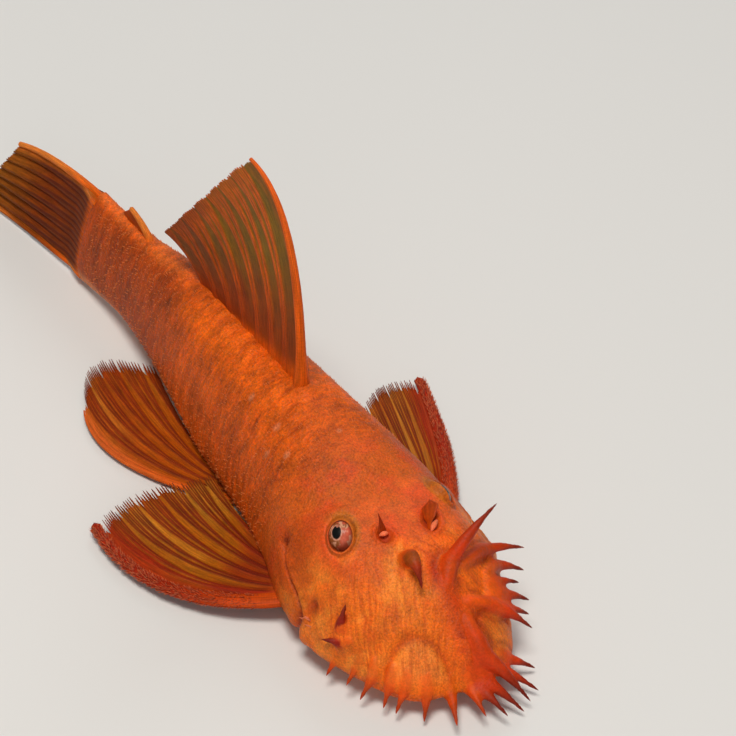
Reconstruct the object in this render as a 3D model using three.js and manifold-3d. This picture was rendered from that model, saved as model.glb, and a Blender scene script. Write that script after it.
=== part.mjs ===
import * as THREE from 'three';
import Module from 'manifold-3d';

const wasm = await Module();
wasm.setup();
const { Manifold, Mesh: SolidMesh } = wasm;

// Adult male bristlenose pleco, life size. Millimetres, +Z up.
// Every form is laid out on a straight fish first: s runs back from the snout
// tip, y to the fish's left, z up from the floor. `bent` then curves the body
// in plan and leans it a little. The nose points to +X.

const gap = 0.3; // between pieces that meet
const pi = Math.PI;

// Small helpers
const mix = (a, b, t) => a + (b - a) * t;
const clamp = (x, lo, hi) => Math.min(hi, Math.max(lo, x));
const ease = (a, b, x) => {
  const t = clamp((x - a) / (b - a), 0, 1);
  return t * t * (3 - 2 * t);
};
const bump = (x, width) => Math.exp(-(x * x) / (width * width));
const add = (a, b, k = 1) => [a[0] + b[0] * k, a[1] + b[1] * k, a[2] + b[2] * k];
const unit = (a) => {
  const l = Math.hypot(a[0], a[1], a[2]) || 1;
  return [a[0] / l, a[1] / l, a[2] / l];
};
const cross = (a, b) => [
  a[1] * b[2] - a[2] * b[1],
  a[2] * b[0] - a[0] * b[2],
  a[0] * b[1] - a[1] * b[0],
];
const bezier = (a, b, c, t) =>
  a.map((v, i) => v * (1 - t) * (1 - t) + 2 * b[i] * t * (1 - t) + c[i] * t * t);

function seeded(seed) {
  let n = seed >>> 0;
  return () => {
    n = (n * 1664525 + 1013904223) >>> 0;
    return n / 4294967296;
  };
}

// Shape-preserving cubic through a few stations along the body.
function curve(table) {
  const xs = table.map((p) => p[0]);
  const ys = table.map((p) => p[1]);
  const slope = xs.slice(1).map((x, i) => (ys[i + 1] - ys[i]) / (x - xs[i]));
  const m = xs.map((_, i) => {
    if (i === 0) return slope[0];
    if (i === xs.length - 1) return slope[slope.length - 1];
    const a = slope[i - 1];
    const b = slope[i];
    return a * b <= 0 ? 0 : (2 * a * b) / (a + b);
  });
  return (x) => {
    const q = clamp(x, xs[0], xs[xs.length - 1]);
    let i = 0;
    while (i < xs.length - 2 && q > xs[i + 1]) i++;
    const d = xs[i + 1] - xs[i];
    const t = (q - xs[i]) / d;
    return (
      ys[i] * (1 + 2 * t) * (1 - t) * (1 - t) +
      m[i] * d * t * (1 - t) * (1 - t) +
      ys[i + 1] * t * t * (3 - 2 * t) +
      m[i + 1] * d * t * t * (t - 1)
    );
  };
}

// The tail swings to the fish's right. Turn per millimetre in three reaches.
const turn = { trunk: 0.0982 / 92, peduncle: 0.376 / 92, fin: 0.48 / 92 };
const reach = { trunk: 30.4, peduncle: 69, fin: 92 };
const headingAt = (s) =>
  (clamp(s, reach.trunk, reach.peduncle) - reach.trunk) * turn.trunk +
  (clamp(s, reach.peduncle, reach.fin) - reach.peduncle) * turn.peduncle +
  Math.max(0, s - reach.fin) * turn.fin;
const spineStep = 0.5;
const spineLine = [[10, 0]];
for (let s = -10; s < 140; s += spineStep) {
  const a = headingAt(s + spineStep / 2);
  const last = spineLine[spineLine.length - 1];
  spineLine.push([last[0] - Math.cos(a) * spineStep, last[1] - Math.sin(a) * spineStep]);
}

// Sections of the body, from a few stations along it
const backHeight = curve([
  [-0.6, 3.6], [0, 4.6], [1.2, 6.4], [3.7, 8.8], [9.2, 12.7], [15.2, 15.5],
  [21.6, 16.2], [26, 17.0], [30.4, 17.9], [36, 18.5], [41.9, 18.6], [55.2, 17.9],
  [62, 17.6], [69, 16.9], [76, 15.4], [82.8, 14.4], [88, 14.4], [93, 15.0],
]);
const halfWidth = curve([
  [-0.6, 2.2], [0, 4.2], [1.2, 6.5], [3.7, 9.0], [9.2, 11.7], [15.2, 13.4],
  [21.6, 13.4], [26, 12.7], [30.4, 11.5], [36, 10.2], [41.9, 9.2], [55.2, 7.7],
  [62, 6.7], [69, 5.4], [76, 4.3], [82.8, 3.1], [88, 2.5], [93, 2.1],
]);
const bellyHeight = curve([
  [-0.6, 3.0], [0, 2.5], [1.2, 2.2], [3.7, 1.95], [9.2, 1.7], [17, 1.65],
  [20, 1.2], [23, 0.2], [25, -0.3], [54, -0.3], [57.5, 0.6], [60, 1.35],
  [64, 1.8], [72, 1.9], [80, 1.6], [88, 1.0], [93, 0.7],
]);
const boxy = (s) => ease(58, 80, s);

// The fish leans: its underside lies this far to its right of the ridge of its back.
const lean = curve([
  [-0.6, 0], [4, 0.35], [12, 1.1], [19, 0.75], [27, 0.5], [35, 0.6], [44, 1.05],
  [54, 1.3], [64, 1.75], [74, 2.4], [84, 2.9], [93, 3.3], [118, 3.7],
]);

function bent([s, y, z]) {
  const q = clamp((s + 10) / spineStep, 0, spineLine.length - 1.001);
  const i = Math.floor(q);
  const f = q - i;
  const a = headingAt(s);
  const cx = mix(spineLine[i][0], spineLine[i + 1][0], f);
  const cy = mix(spineLine[i][1], spineLine[i + 1][1], f);
  const across = y - lean(s) * clamp(1 - z / backHeight(s), 0, 1);
  return [cx - Math.sin(a) * across, cy + Math.cos(a) * across, z];
}

// One point of the smooth body; angle 0 is the fish's left, a quarter turn up.
function bodyPoint(s, angle, offset = 0) {
  const h = backHeight(s) + offset;
  const w = halfWidth(s) + offset;
  const low = bellyHeight(s) - offset;
  const wide = Math.max((0.28 + 0.17 * ease(55, 82, s)) * h, low + 0.6 + offset);
  const c = Math.cos(angle);
  const r = Math.sin(angle);
  const sign = Math.sign(c);
  if (r >= 0) {
    const rise = mix(1.12, 0.95, ease(17, 30, s));
    return [s, w * sign * Math.abs(c) ** 0.9, wide + (h - wide) * r ** rise];
  }
  return [
    s,
    w * sign * Math.abs(c) ** (0.55 + 0.35 * boxy(s)),
    wide - (wide - low) * (-r) ** (0.7 + 0.25 * boxy(s)),
  ];
}

// Height of the back at a distance y from the midline.
function topAt(s, y) {
  const w = halfWidth(s);
  const c = clamp(Math.abs(y) / w, 0, 1) ** (1 / 0.9);
  const angle = Math.acos(c);
  return bodyPoint(s, y < 0 ? pi - angle : angle)[2];
}

// Surface normal of the smooth body by differences, on the straight fish.
function bodyNormal(s, angle) {
  const d = 0.05;
  const a = add(bodyPoint(s + d, angle), bodyPoint(s - d, angle), -1);
  const b = add(bodyPoint(s, angle + 0.01), bodyPoint(s, angle - 0.01), -1);
  return unit(cross(a, b));
}

// Rows of bony plates behind the head
const plate = { first: 31.4, pitch: 2.72, count: 22, lift: 0.34, rows: 5, lowest: -35 };

// Columns around the body: belly, then five rows of plates up each flank.
function columns() {
  const half = [-72, -53];
  const rowSpan = (90 - plate.lowest) / plate.rows;
  for (let r = 0; r < plate.rows; r++) {
    const a = plate.lowest + r * rowSpan;
    half.push(a, a + rowSpan * 0.3, a + rowSpan * 0.7);
  }
  const left = half.map((a) => ({ a, edge: (half.indexOf(a) - 2) % 3 === 0 || a < plate.lowest }));
  const right = left.map((c) => ({ a: 180 - c.a, edge: c.edge })).reverse();
  const whole = [{ a: -90, edge: true, belly: true }, ...left, { a: 90, edge: false }, ...right];
  return whole.map((c) => ({
    angle: (c.a * pi) / 180,
    edge: c.edge,
    belly: c.belly || c.a < -40 || c.a > 220,
  }));
}
const around = columns();

// Outward swelling of the head's skin over the bone.
function headRelief(s, p) {
  const [, y, z] = p;
  const side = Math.abs(y);
  let r = 0;
  // raised orbit shelf and the slightly hollow space between the eyes
  r += 0.75 * bump(s - 20.5, 2.9) * bump(side - 7.1, 2.2) * ease(8, 12, z);
  r -= 0.35 * bump(s - 21, 4) * bump(side, 2.6);
  // cheek swelling, and the fold of the gill cover behind it
  r += 0.7 * bump(s - 17, 4) * bump(z - 5, 3) * ease(7, 10, side);
  const fold = s - mix(17.5, 26, ease(6.2, 10.2, z));
  r -= 0.85 * bump(fold, 0.95) * ease(8, 10.5, side) * ease(12.5, 9.5, z);
  // the ridge up the snout that carries the longest tentacles, and a bare pad
  // on each side of it, set off by an arched crease
  r += 0.55 * bump(y - 1.2, 1.7) * ease(11, 7, s);
  const arch = Math.hypot((s - 1) / 4.7, (side - 5.8) / 3.9);
  r -= 0.35 * bump(arch - 1, 0.16) * ease(4, 6, z);
  r += 0.3 * bump(arch, 0.7);
  // low ridge of the nape
  r += 0.25 * bump(side, 1.8) * ease(24, 29, s);
  return r;
}

function loft(rings) {
  const n = rings[0].length;
  const points = rings.flat();
  const tris = [];
  for (let i = 0; i + 1 < rings.length; i++) {
    for (let j = 0; j < n; j++) {
      const a = i * n + j;
      const b = i * n + ((j + 1) % n);
      tris.push([a, b, b + n], [a, b + n, a + n]);
    }
  }
  const centre = (ring) => ring.reduce((c, p) => add(c, p, 1 / n), [0, 0, 0]);
  const first = points.length;
  points.push(centre(rings[0]), centre(rings[rings.length - 1]));
  const end = (rings.length - 1) * n;
  for (let j = 0; j < n; j++) {
    const k = (j + 1) % n;
    tris.push([first, k, j], [first + 1, end + j, end + k]);
  }
  return solid(points, tris);
}

// Closed surface to a solid, turned right side out.
function solid(points, tris) {
  let volume = 0;
  for (const [a, b, c] of tris) {
    const n = cross(points[b], points[c]);
    volume += points[a][0] * n[0] + points[a][1] * n[1] + points[a][2] * n[2];
  }
  const index = new Uint32Array(tris.length * 3);
  tris.forEach(([a, b, c], i) => index.set(volume < 0 ? [a, c, b] : [a, b, c], i * 3));
  const mesh = new SolidMesh({
    numProp: 3,
    vertProperties: new Float32Array(points.flat()),
    triVerts: index,
  });
  mesh.merge();
  return new Manifold(mesh);
}

function bodySolid(offset, withPlates) {
  const stations = [];
  for (const s of [-0.6, -0.2, 0.4, 1.2, 2.2, 3.4, 4.6, 5.8, 7.2, 8.8, 10.5, 12.2, 13.9, 15.5]) {
    stations.push({ s });
  }
  for (let s = 17; s < plate.first - 1; s += 1.3) stations.push({ s });
  for (let i = 0; i < plate.count; i++) {
    const s = plate.first + i * plate.pitch;
    stations.push({ s, up: 0, plated: true });
    if (withPlates) stations.push({ s: s + plate.pitch * 0.84, up: 1, plated: true });
  }
  stations.push({ s: 91.9 }, { s: 93 });
  const rings = stations.map((st) =>
    around.map((col) => {
      const inner = !col.edge && !col.belly;
      const slip = st.plated && !col.belly ? (inner ? 0.28 : -0.42) : 0;
      const s = st.s + slip;
      const p = bodyPoint(s, col.angle, offset);
      const n = bodyNormal(s, col.angle);
      let r = 0;
      if (st.plated && !col.belly) {
        const rise = inner ? mix(0.25, 1, st.up) : 0.45 * st.up;
        r = plate.lift * (withPlates ? rise : 1);
      }
      if (s < 33) r += headRelief(s, p) * ease(33, 30, s);
      return bent(add(p, n, r));
    })
  );
  return loft(rings);
}

// A slab across the body, for parting it into pieces.
function slab(s, thickness) {
  const size = 60;
  const a = headingAt(s);
  const corner = (ds, y, z) => {
    const [x0, y0] = bent([s + ds, 0, 0]);
    return [x0 - Math.sin(a) * y, y0 + Math.cos(a) * y, z];
  };
  const outline = [[-size, -20], [size, -20], [size, size], [-size, size]];
  const points = [-thickness / 2, thickness / 2].flatMap((ds) => outline.map(([y, z]) => corner(ds, y, z)));
  const quad = (p, q, r, t) => [[p, q, r], [p, r, t]];
  return solid(points, [
    ...quad(0, 1, 2, 3), ...quad(7, 6, 5, 4), ...quad(0, 4, 5, 1),
    ...quad(1, 5, 6, 2), ...quad(2, 6, 7, 3), ...quad(3, 7, 4, 0),
  ]);
}

const largest = (m) => {
  const pieces = m.simplify(0.02).decompose();
  return pieces.reduce((best, p) => (!best || p.volume() > best.volume() ? p : best), null);
};
const union = (list) => list.reduce((a, b) => a.add(b));

// Everything that reaches the floor ends on it in a small flat.
const grounded = (m) => m.trimByPlane([0, 0, 1], 0);

// Tapered horn along a curve on the straight fish; round in section.
function horn(path, radii, sides = 6, steps = 5, flat = 1) {
  const rings = [];
  for (let i = 0; i <= steps; i++) {
    const t = i / steps;
    const p = bent(path(t));
    const q = bent(path(Math.min(1, t + 0.02)));
    const o = bent(path(Math.max(0, t - 0.02)));
    const d = unit(add(q, o, -1));
    const side = unit(cross(d, Math.abs(d[2]) > 0.9 ? [1, 0, 0] : [0, 0, 1]));
    const up = cross(side, d);
    const r = radii(t);
    const ring = [];
    for (let j = 0; j < sides; j++) {
      const a = (2 * pi * (j + 0.5)) / sides;
      ring.push(add(add(p, side, r * Math.cos(a)), up, r * flat * Math.sin(a)));
    }
    rings.push(ring);
  }
  return loft(rings);
}

// A ring of round section, lying square to a direction.
function ringSolid(centre, normal, major, minor, segments, sides) {
  const n = unit(normal);
  const u = unit(cross(n, [0.2, 1, 0.1]));
  const v = cross(n, u);
  const points = [];
  const tris = [];
  for (let i = 0; i < segments; i++) {
    const a = (2 * pi * i) / segments;
    const out = add(u.map((value) => value * Math.cos(a)), v, Math.sin(a));
    for (let j = 0; j < sides; j++) {
      const b = (2 * pi * j) / sides;
      points.push(add(add(centre, out, major + minor * Math.cos(b)), n, minor * Math.sin(b)));
      const next = ((i + 1) % segments) * sides;
      const j2 = (j + 1) % sides;
      tris.push([i * sides + j, next + j, next + j2], [i * sides + j, next + j2, i * sides + j2]);
    }
  }
  return solid(points, tris);
}

function ball(centre, radii, longitudes = 12, latitudes = 8) {
  const r = Array.isArray(radii) ? radii : [radii, radii, radii];
  const points = [[centre[0], centre[1], centre[2] + r[2]], [centre[0], centre[1], centre[2] - r[2]]];
  const tris = [];
  const at = (i, j) => 2 + (i - 1) * longitudes + (j % longitudes);
  for (let i = 1; i < latitudes; i++) {
    const b = (pi * i) / latitudes;
    for (let j = 0; j < longitudes; j++) {
      const a = (2 * pi * j) / longitudes;
      points.push([
        centre[0] + r[0] * Math.sin(b) * Math.cos(a),
        centre[1] + r[1] * Math.sin(b) * Math.sin(a),
        centre[2] + r[2] * Math.cos(b),
      ]);
    }
  }
  for (let j = 0; j < longitudes; j++) {
    tris.push([0, at(1, j), at(1, j + 1)], [1, at(latitudes - 1, j + 1), at(latitudes - 1, j)]);
    for (let i = 1; i < latitudes - 1; i++) {
      const opposite = at(i + 1, j + 1);
      tris.push([at(i, j), at(i + 1, j), opposite], [at(i, j), opposite, at(i, j + 1)]);
    }
  }
  return solid(points, tris);
}

// A fin is one sheet. Its rays stand as ridges on both faces, and the margin
// is cut back a little between their tips.
function finSheet(fin) {
  const rays = fin.base.length;
  const steps = fin.steps;
  const lines = [];
  const rowOf = (k) => {
    // a line between rays blends the two neighbours
    const i = clamp(Math.floor(k), 0, rays - 2);
    const f = k - i;
    const pick = (list) => list[i].map((v, q) => mix(v, list[i + 1][q], f));
    return { a: pick(fin.base), b: pick(fin.control), c: pick(fin.tip) };
  };
  for (let k = 0; k < rays; k++) {
    const half = k === 0 ? fin.spineWidth : fin.rayWidth;
    const spread = half / fin.spacing;
    if (k > 0 && !fin.fine) lines.push({ k: k - spread, ridge: 0, cut: 0.25 });
    lines.push({ k, ridge: 1, cut: 0 });
    if (k < rays - 1) {
      if (!fin.fine) lines.push({ k: k + spread, ridge: 0, cut: 0.25 });
      lines.push({ k: k + 0.5, ridge: 0, cut: 1 });
    }
  }
  const mid = lines.map((line) => {
    const { a, b, c } = rowOf(line.k);
    const row = [];
    for (let i = 0; i <= steps; i++) {
      const t = i / steps;
      const reachOut = 1 - fin.notch * line.cut * ease(0.75, 1, t);
      const p = bezier(a, b, c, t * reachOut);
      row.push(bent(fin.shape ? fin.shape(p, line.k / (rays - 1), t) : p));
    }
    return row;
  });
  const normal = (i, j) => {
    const p = mid[Math.min(i + 1, mid.length - 1)][j];
    const q = mid[Math.max(i - 1, 0)][j];
    const r = mid[i][Math.min(j + 1, steps)];
    const o = mid[i][Math.max(j - 1, 0)];
    return unit(cross(add(p, q, -1), add(r, o, -1)));
  };
  const front = [];
  const back = [];
  lines.forEach((line, i) => {
    for (let j = 0; j <= steps; j++) {
      const t = j / steps;
      const half = fin.thickness(line, t);
      const n = normal(i, j);
      front.push(add(mid[i][j], n, half));
      back.push(add(mid[i][j], n, -half));
    }
  });
  const n = steps + 1;
  const m = lines.length;
  const points = [...front, ...back];
  const off = m * n;
  const tris = [];
  for (let i = 0; i + 1 < m; i++) {
    for (let j = 0; j + 1 < n; j++) {
      const a = i * n + j;
      const b = a + n;
      tris.push([a, b, b + 1], [a, b + 1, a + 1]);
      tris.push([off + a, off + b + 1, off + b], [off + a, off + a + 1, off + b + 1]);
    }
  }
  const wall = (a, b) => tris.push([a, b, off + b], [a, off + b, off + a]);
  for (let i = 0; i + 1 < m; i++) {
    wall((i + 1) * n, i * n);
    wall(i * n + n - 1, (i + 1) * n + n - 1);
  }
  for (let j = 0; j + 1 < n; j++) {
    wall(j, j + 1);
    wall((m - 1) * n + j + 1, (m - 1) * n + j);
  }
  return solid(points, tris);
}

const finThickness = (membrane, ray, tipPart = 0.6) => (line, t) => {
  const thin = mix(1, tipPart, t);
  return line.ridge ? ray * thin : membrane * mix(1, 0.85, t);
};

// One point for each ray, from a formula in the share across the fan.
const spread = (count, f) => Array.from({ length: count }, (_, k) => f(k / (count - 1)));

// Dorsal fin: one spine and seven branched rays, raised and swept back.
const dorsal = {
  base: spread(8, (u) => [mix(42.4, 66.5, u), 0, backHeight(mix(42.4, 66.5, u)) - 1.4]),
  control: spread(8, (u) => [mix(43.5, 70.5, u ** 0.9), 0, mix(47.2, 21.0, u ** 0.75)]),
  tip: spread(8, (u) => [mix(56.6, 77.3, u ** 0.86), 0, mix(46.0, 18.9, u ** 0.92)]),
  steps: 8, spacing: 3.2, rayWidth: 0.34, spineWidth: 0.5, notch: 0.045,
  thickness: finThickness(0.27, 0.5),
  shape: (p, u, t) => [p[0], p[1] + 0.5 * Math.sin(t * 2.6) * Math.sin(u * 5), p[2]],
};

// Caudal fin: sixteen rays, nearly closed, its lower lobe longer.
const caudal = {
  base: spread(16, (u) => [93.3, 0, mix(14.1, 1.3, u)]),
  control: spread(16, (u) => [mix(103, 104, u), 0, mix(14.5, 0.65, u)]),
  tip: spread(16, (u) => [mix(111.3, 117.7, u), 0, mix(12.0, 0.6, u)]),
  steps: 8, spacing: 0.9, rayWidth: 0.24, spineWidth: 0.3, notch: 0.05, fine: true,
  thickness: (line, t) => {
    const root = 1.35 * (1 - ease(0, 0.32, t)) * (1 - Math.abs(line.k / 7.5 - 1) ** 2.5);
    const rim = line.k < 0.01 || line.k > 14.99 ? 0.22 : 0;
    return (line.ridge ? mix(0.5, 0.32, t) + rim : 0.28) + root;
  },
};

// Adipose fin: a short spine with a small membrane behind it.
const adipose = {
  base: [[80.4, 0, 13.3], [82.4, 0, 13.3], [84.6, 0, 13.3]],
  control: [[82.2, 0, 16.0], [84.4, 0, 15.4], [86.2, 0, 14.6]],
  tip: [[85.9, 0, 16.8], [86.8, 0, 15.8], [87.8, 0, 14.9]],
  steps: 6, spacing: 2, rayWidth: 0.4, spineWidth: 0.5, notch: 0.05,
  thickness: (line, t) => (line.k < 0.01 ? mix(0.75, 0.35, t) : 0.28),
};

// Anal fin: short, folded back under the tail towards the fish's left.
const anal = {
  base: spread(5, (u) => [mix(58.4, 62.6, u), mix(0.2, 0.4, u), mix(1.1, 1.6, u)]),
  control: spread(5, (u) => [mix(61.5, 65.5, u), mix(3.0, 0.9, u), 0.75]),
  tip: spread(5, (u) => [mix(68.6, 70.2, u), mix(4.6, 1.7, u), 0.62]),
  steps: 5, spacing: 1, rayWidth: 0.24, spineWidth: 0.3, notch: 0.05, fine: true,
  thickness: finThickness(0.26, 0.42),
};

// Paired fins lie spread and swept back. The spine rests on the floor part way
// along, and the pectoral's rear margin passes over the pelvic.
function pectoral(side, spineControl, spineTip, rearTip) {
  const y = (v) => v * side;
  return {
    base: spread(7, (u) => [mix(22.5, 27.6, u), y(mix(10.7, 9.6, u)), 3.4]),
    control: spread(7, (u) => [
      mix(spineControl[0], 36, u ** 0.9),
      y(mix(spineControl[1], 11.6, u ** 0.85)),
      mix(1.2, 2.6, u),
    ]),
    tip: spread(7, (u) => [
      mix(spineTip[0], rearTip[0], u) + 2.2 * Math.sin(pi * Math.min(1, u * 1.25)),
      y(mix(spineTip[1], rearTip[1], u ** 1.15)),
      mix(0.95, 2.5, ease(0, 0.6, u)),
    ]),
    steps: 8, spacing: 3, rayWidth: 0.36, spineWidth: 0.5, notch: 0.05,
    thickness: finThickness(0.27, 0.5),
    shape: (p, u, t) => [p[0], p[1], p[2] + 0.28 * Math.sin(u * 9 + 1) * ease(0.3, 1, t)],
  };
}
function pelvic(side, sweep, spineTip, rearTip, fullness) {
  const y = (v) => v * side;
  return {
    base: spread(6, (u) => [mix(43.6, 48.6, u), y(mix(7.2, 6.9, u)), 0.8]),
    control: spread(6, (u) => [mix(59, 58.5, u), y(mix(sweep, 8.0, u ** 0.9)), 0.7]),
    tip: spread(6, (u) => [
      mix(spineTip[0], rearTip[0], u) + fullness * Math.sin(pi * u),
      y(mix(spineTip[1], rearTip[1], u)),
      0.75,
    ]),
    steps: 7, spacing: 2.2, rayWidth: 0.32, spineWidth: 0.45, notch: 0.05,
    thickness: finThickness(0.26, 0.42),
    shape: (p, u, t) => [p[0], p[1], p[2] + 0.1 * Math.sin(u * 8) * ease(0.4, 1, t)],
  };
}

// Stout leading spine of a paired fin, set with hooked bristles outwards.
function finSpine(fin, rootRadius, tipRadius, bristles, seed) {
  const [a, b, c] = [fin.base[0], fin.control[0], fin.tip[0]];
  const path = (t) => {
    const p = bezier(a, b, c, t);
    return fin.shape ? fin.shape(p, 0, t) : p;
  };
  const random = seeded(seed);
  const side = Math.sign(c[1]);
  const pieces = [horn(path, (t) => mix(rootRadius, tipRadius, t), 7, 8)];
  for (let i = 0; i < bristles; i++) {
    const t = mix(0.36, 0.97, (i + 0.4 * random()) / bristles);
    const from = path(t);
    const to = path(Math.min(1, t + 0.04));
    const along = unit(add(to, from, -1));
    const out = unit([-along[1] * -side, along[0] * -side, 0]);
    const sweep = mix(0.7, 1.3, random());
    const lift = mix(-0.1, 0.9, random());
    const way = unit([along[0] * sweep + out[0], along[1] * sweep + out[1], lift]);
    const length = mix(1.2, 1.8, random()) * mix(0.8, 1.1, t);
    const start = add(from, way, 0.15);
    pieces.push(horn((q) => add(start, way, q * length), (q) => mix(0.32, 0.06, q), 3, 1));
  }
  return union(pieces);
}

// The body in three pieces, each with its plates or folds
const body = bodySolid(0, true);
const bodyWithGap = bodySolid(gap, false);

const headCut = slab(31.0, gap);
const tailCut = slab(76.2, gap);
const parted = grounded(body).subtract(headCut).subtract(tailCut).decompose();
const [bareHead, trunkSolid, tailSolid] = parted
  .filter((p) => p.volume() > 5)
  .sort((a, b) => b.boundingBox().max[0] - a.boundingBox().max[0]);

// Tentacles: heel s, y, then root s, y, z, then tip s, y, z, then the radius at
// the root and how far it arches up. From the heel to the root it lies half sunk
// in the skin as a ridge. A root z of nought lies on the back.
const tentacles = [
  [13.2, -1.6, 12.3, -1.7, 0, 8.0, -2.4, 13.9, 1.3, 0.55], // the two long ones before the nostrils
  [7.8, 1.0, 10.4, 3.0, 0, 12.3, 10.7, 18.8, 1.3, 0.15],
  [9.8, 3.6, 12.5, 10.2, 0, 12.0, 15.7, 9.1, 0.85, 0.12], // left margin, from behind forwards
  [9.2, 7.7, 11.2, 11.0, 0, 10.7, 15.2, 6.5, 0.85, 0.12],
  [7.9, 6.8, 8.7, 9.5, 0, 8.6, 12.9, 7.2, 0.75, 0.12],
  [6.9, 6.5, 7.4, 9.6, 0, 6.9, 13.5, 5.3, 0.9, 0.12],
  [5.9, 6.2, 5.8, 8.9, 0, 5.3, 12.4, 4.7, 0.85, 0.12],
  [6.4, 2.6, 5.3, 7.4, 0, 3.0, 11.3, 4.8, 1.0, 0.12],
  [1.6, 4.6, 1.3, 6.3, 3.3, 0.0, 10.1, 0.9, 0.9, 0.12],
  [0.8, 3.4, 0.4, 4.8, 3.0, -3.5, 8.3, 1.1, 0.95, 0.12],
  [5.3, 1.9, 0.8, 2.6, 0, -4.8, 6.3, 1.4, 1.25, 0.12], // the cluster at the foot of the ridge
  [3.4, 1.3, -0.2, 1.4, 3.9, -5.6, 4.9, 1.0, 1.15, 0.12],
  [1.6, 0.2, -0.3, 0.5, 3.4, -6.0, 2.2, 2.0, 1.05, 0.12],
  [1.0, -0.3, -0.3, -0.2, 3.2, -5.1, -0.4, 2.4, 0.95, 0.12], // right margin, from the front backwards
  [1.6, -2.4, 0.1, -2.5, 3.0, -4.5, -4.2, 2.1, 0.95, 0.12],
  [2.6, -4.6, 0.8, -5.4, 3.6, -1.1, -6.8, 0.9, 0.9, 0.12],
  [3.8, -6.4, 2.4, -7.4, 4.0, 1.1, -9.5, 1.6, 0.85, 0.12],
  [5.2, -7.8, 3.8, -8.7, 4.2, 2.6, -10.3, 1.7, 0.8, 0.12],
  [7.0, -9.2, 5.7, -9.9, 4.2, 5.2, -11.9, 1.6, 0.8, 0.12],
  [11.0, -11.0, 11.8, -11.3, 7.8, 11.6, -10.9, 12.1, 0.7, 0.12], // cheeks
  [9.6, -10.6, 10.4, -11.3, 6.3, 12.0, -13.5, 7.0, 0.65, 0.12],
  [10.4, -11.0, 10.6, -12.0, 3.9, 10.2, -13.4, 2.2, 0.6, 0.12],
  [8.2, -10.0, 7.9, -10.8, 4.6, 7.3, -12.5, 2.6, 0.65, 0.12],
  [13.6, 11.4, 13.4, 12.4, 5.0, 13.2, 15.0, 5.4, 0.6, 0.12],
];
const heelShare = 0.4;
function tentacle([heelS, heelY, rootS, rootY, rootZ, tipS, tipY, tipZ, radius, arch]) {
  const onSkin = rootZ === 0;
  const root = [rootS, rootY, onSkin ? topAt(rootS, rootY) - 0.3 * radius : rootZ];
  const tip = [tipS, tipY, tipZ];
  const heel = [heelS, heelY, onSkin ? topAt(heelS, heelY) - 0.9 * radius : rootZ + 0.4];
  const length = Math.hypot(...add(tip, root, -1));
  const middle = add(add(root, add(tip, root, -1), 0.42), [0, 0, 1], length * arch);
  const ridge = (q) => {
    const p = add(heel, add(root, heel, -1), q);
    return onSkin ? [p[0], p[1], topAt(p[0], p[1]) - radius * mix(0.9, 0.3, q)] : p;
  };
  const path = (t) =>
    t < heelShare ? ridge(t / heelShare) : bezier(root, middle, tip, (t - heelShare) / (1 - heelShare));
  const width = (t) => {
    const free = clamp((t - heelShare) / (1 - heelShare), 0, 1);
    return radius * mix(0.6, 1, ease(0, heelShare, t)) * (1 - free) ** 0.8 + 0.02;
  };
  return horn(path, width, 5, 5);
}

// Eyes look up and outwards; each sits in a socket with a raised rim of skin.
const eye = { s: 20.3, y: 7.55, radius: 2.2, depth: 1.5, look: [-0.2, 0.52, 0.83] };
const nostril = { s: 16.9, y: 3.35, room: [0.8, 0.62, 1.0] };
// The head is turned a hair to its left, so its features lie a little that way.
const askew = { eyeS: 0.6, eyeY: 0.55, nostrilY: 0.75 };
const cheekSpines = { count: 4, first: 15.2, pitch: 0.8, height: 7.2 };
const eyeSolids = {};
const eyeCentre = (side) => {
  const s = eye.s + askew.eyeS * side;
  const y = eye.y * side + askew.eyeY;
  const p = [s, y, topAt(s, y) + 0.5];
  return add(p, unit([eye.look[0], eye.look[1] * side, eye.look[2]]), -eye.depth);
};
const headParts = [bareHead, ...tentacles.map(tentacle)];
const pits = [];
for (const [side, name] of [[-1, 'eye_right'], [1, 'eye_left']]) {
  const look = unit([-eye.look[0], eye.look[1] * side, eye.look[2]]);
  const place = bent(eyeCentre(side));
  eyeSolids[name] = ball(place, eye.radius);
  pits.push(ball(place, eye.radius + gap));
  headParts.push(ringSolid(add(place, look, 1.3), look, 2.55, 0.5, 12, 4));
  // nostril: a pit with an upright flap across it
  const nostrilY = nostril.y * side + askew.nostrilY;
  const foot = [nostril.s, nostrilY, topAt(nostril.s, nostrilY)];
  pits.push(ball(bent(add(foot, [-0.2, 0, 0.3])), nostril.room, 7, 5));
  const flapTip = add(foot, [1.1, 0.1 * side, 1.8]);
  const flapRoot = add(foot, [0.75, 0, -0.9]);
  const flapBend = add(flapRoot, [-0.3, 0, 1.4]);
  headParts.push(horn((t) => bezier(flapRoot, flapBend, flapTip, t), (t) => mix(0.8, 0.12, t), 5, 3, 0.6));
  // hooked spines of the cheek, below and behind the eye
  const random = seeded(side > 0 ? 71 : 37);
  for (let i = 0; i < cheekSpines.count; i++) {
    const s = cheekSpines.first + cheekSpines.pitch * i + 0.3 * random();
    const z = cheekSpines.height - 0.5 * i + 0.9 * (random() - 0.5);
    const w = halfWidth(s);
    const from = [s, side * (w - 0.4), z];
    const to = [s + 1.3 + random(), side * (w + 0.9 + 0.4 * random()), z - 0.2 + 0.9 * random()];
    headParts.push(horn((t) => add(from, add(to, from, -1), t), (t) => mix(0.34, 0.07, t), 3, 1));
  }
}
const headSolid = largest(grounded(union(headParts).subtract(union(pits))).subtract(headCut));

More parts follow.
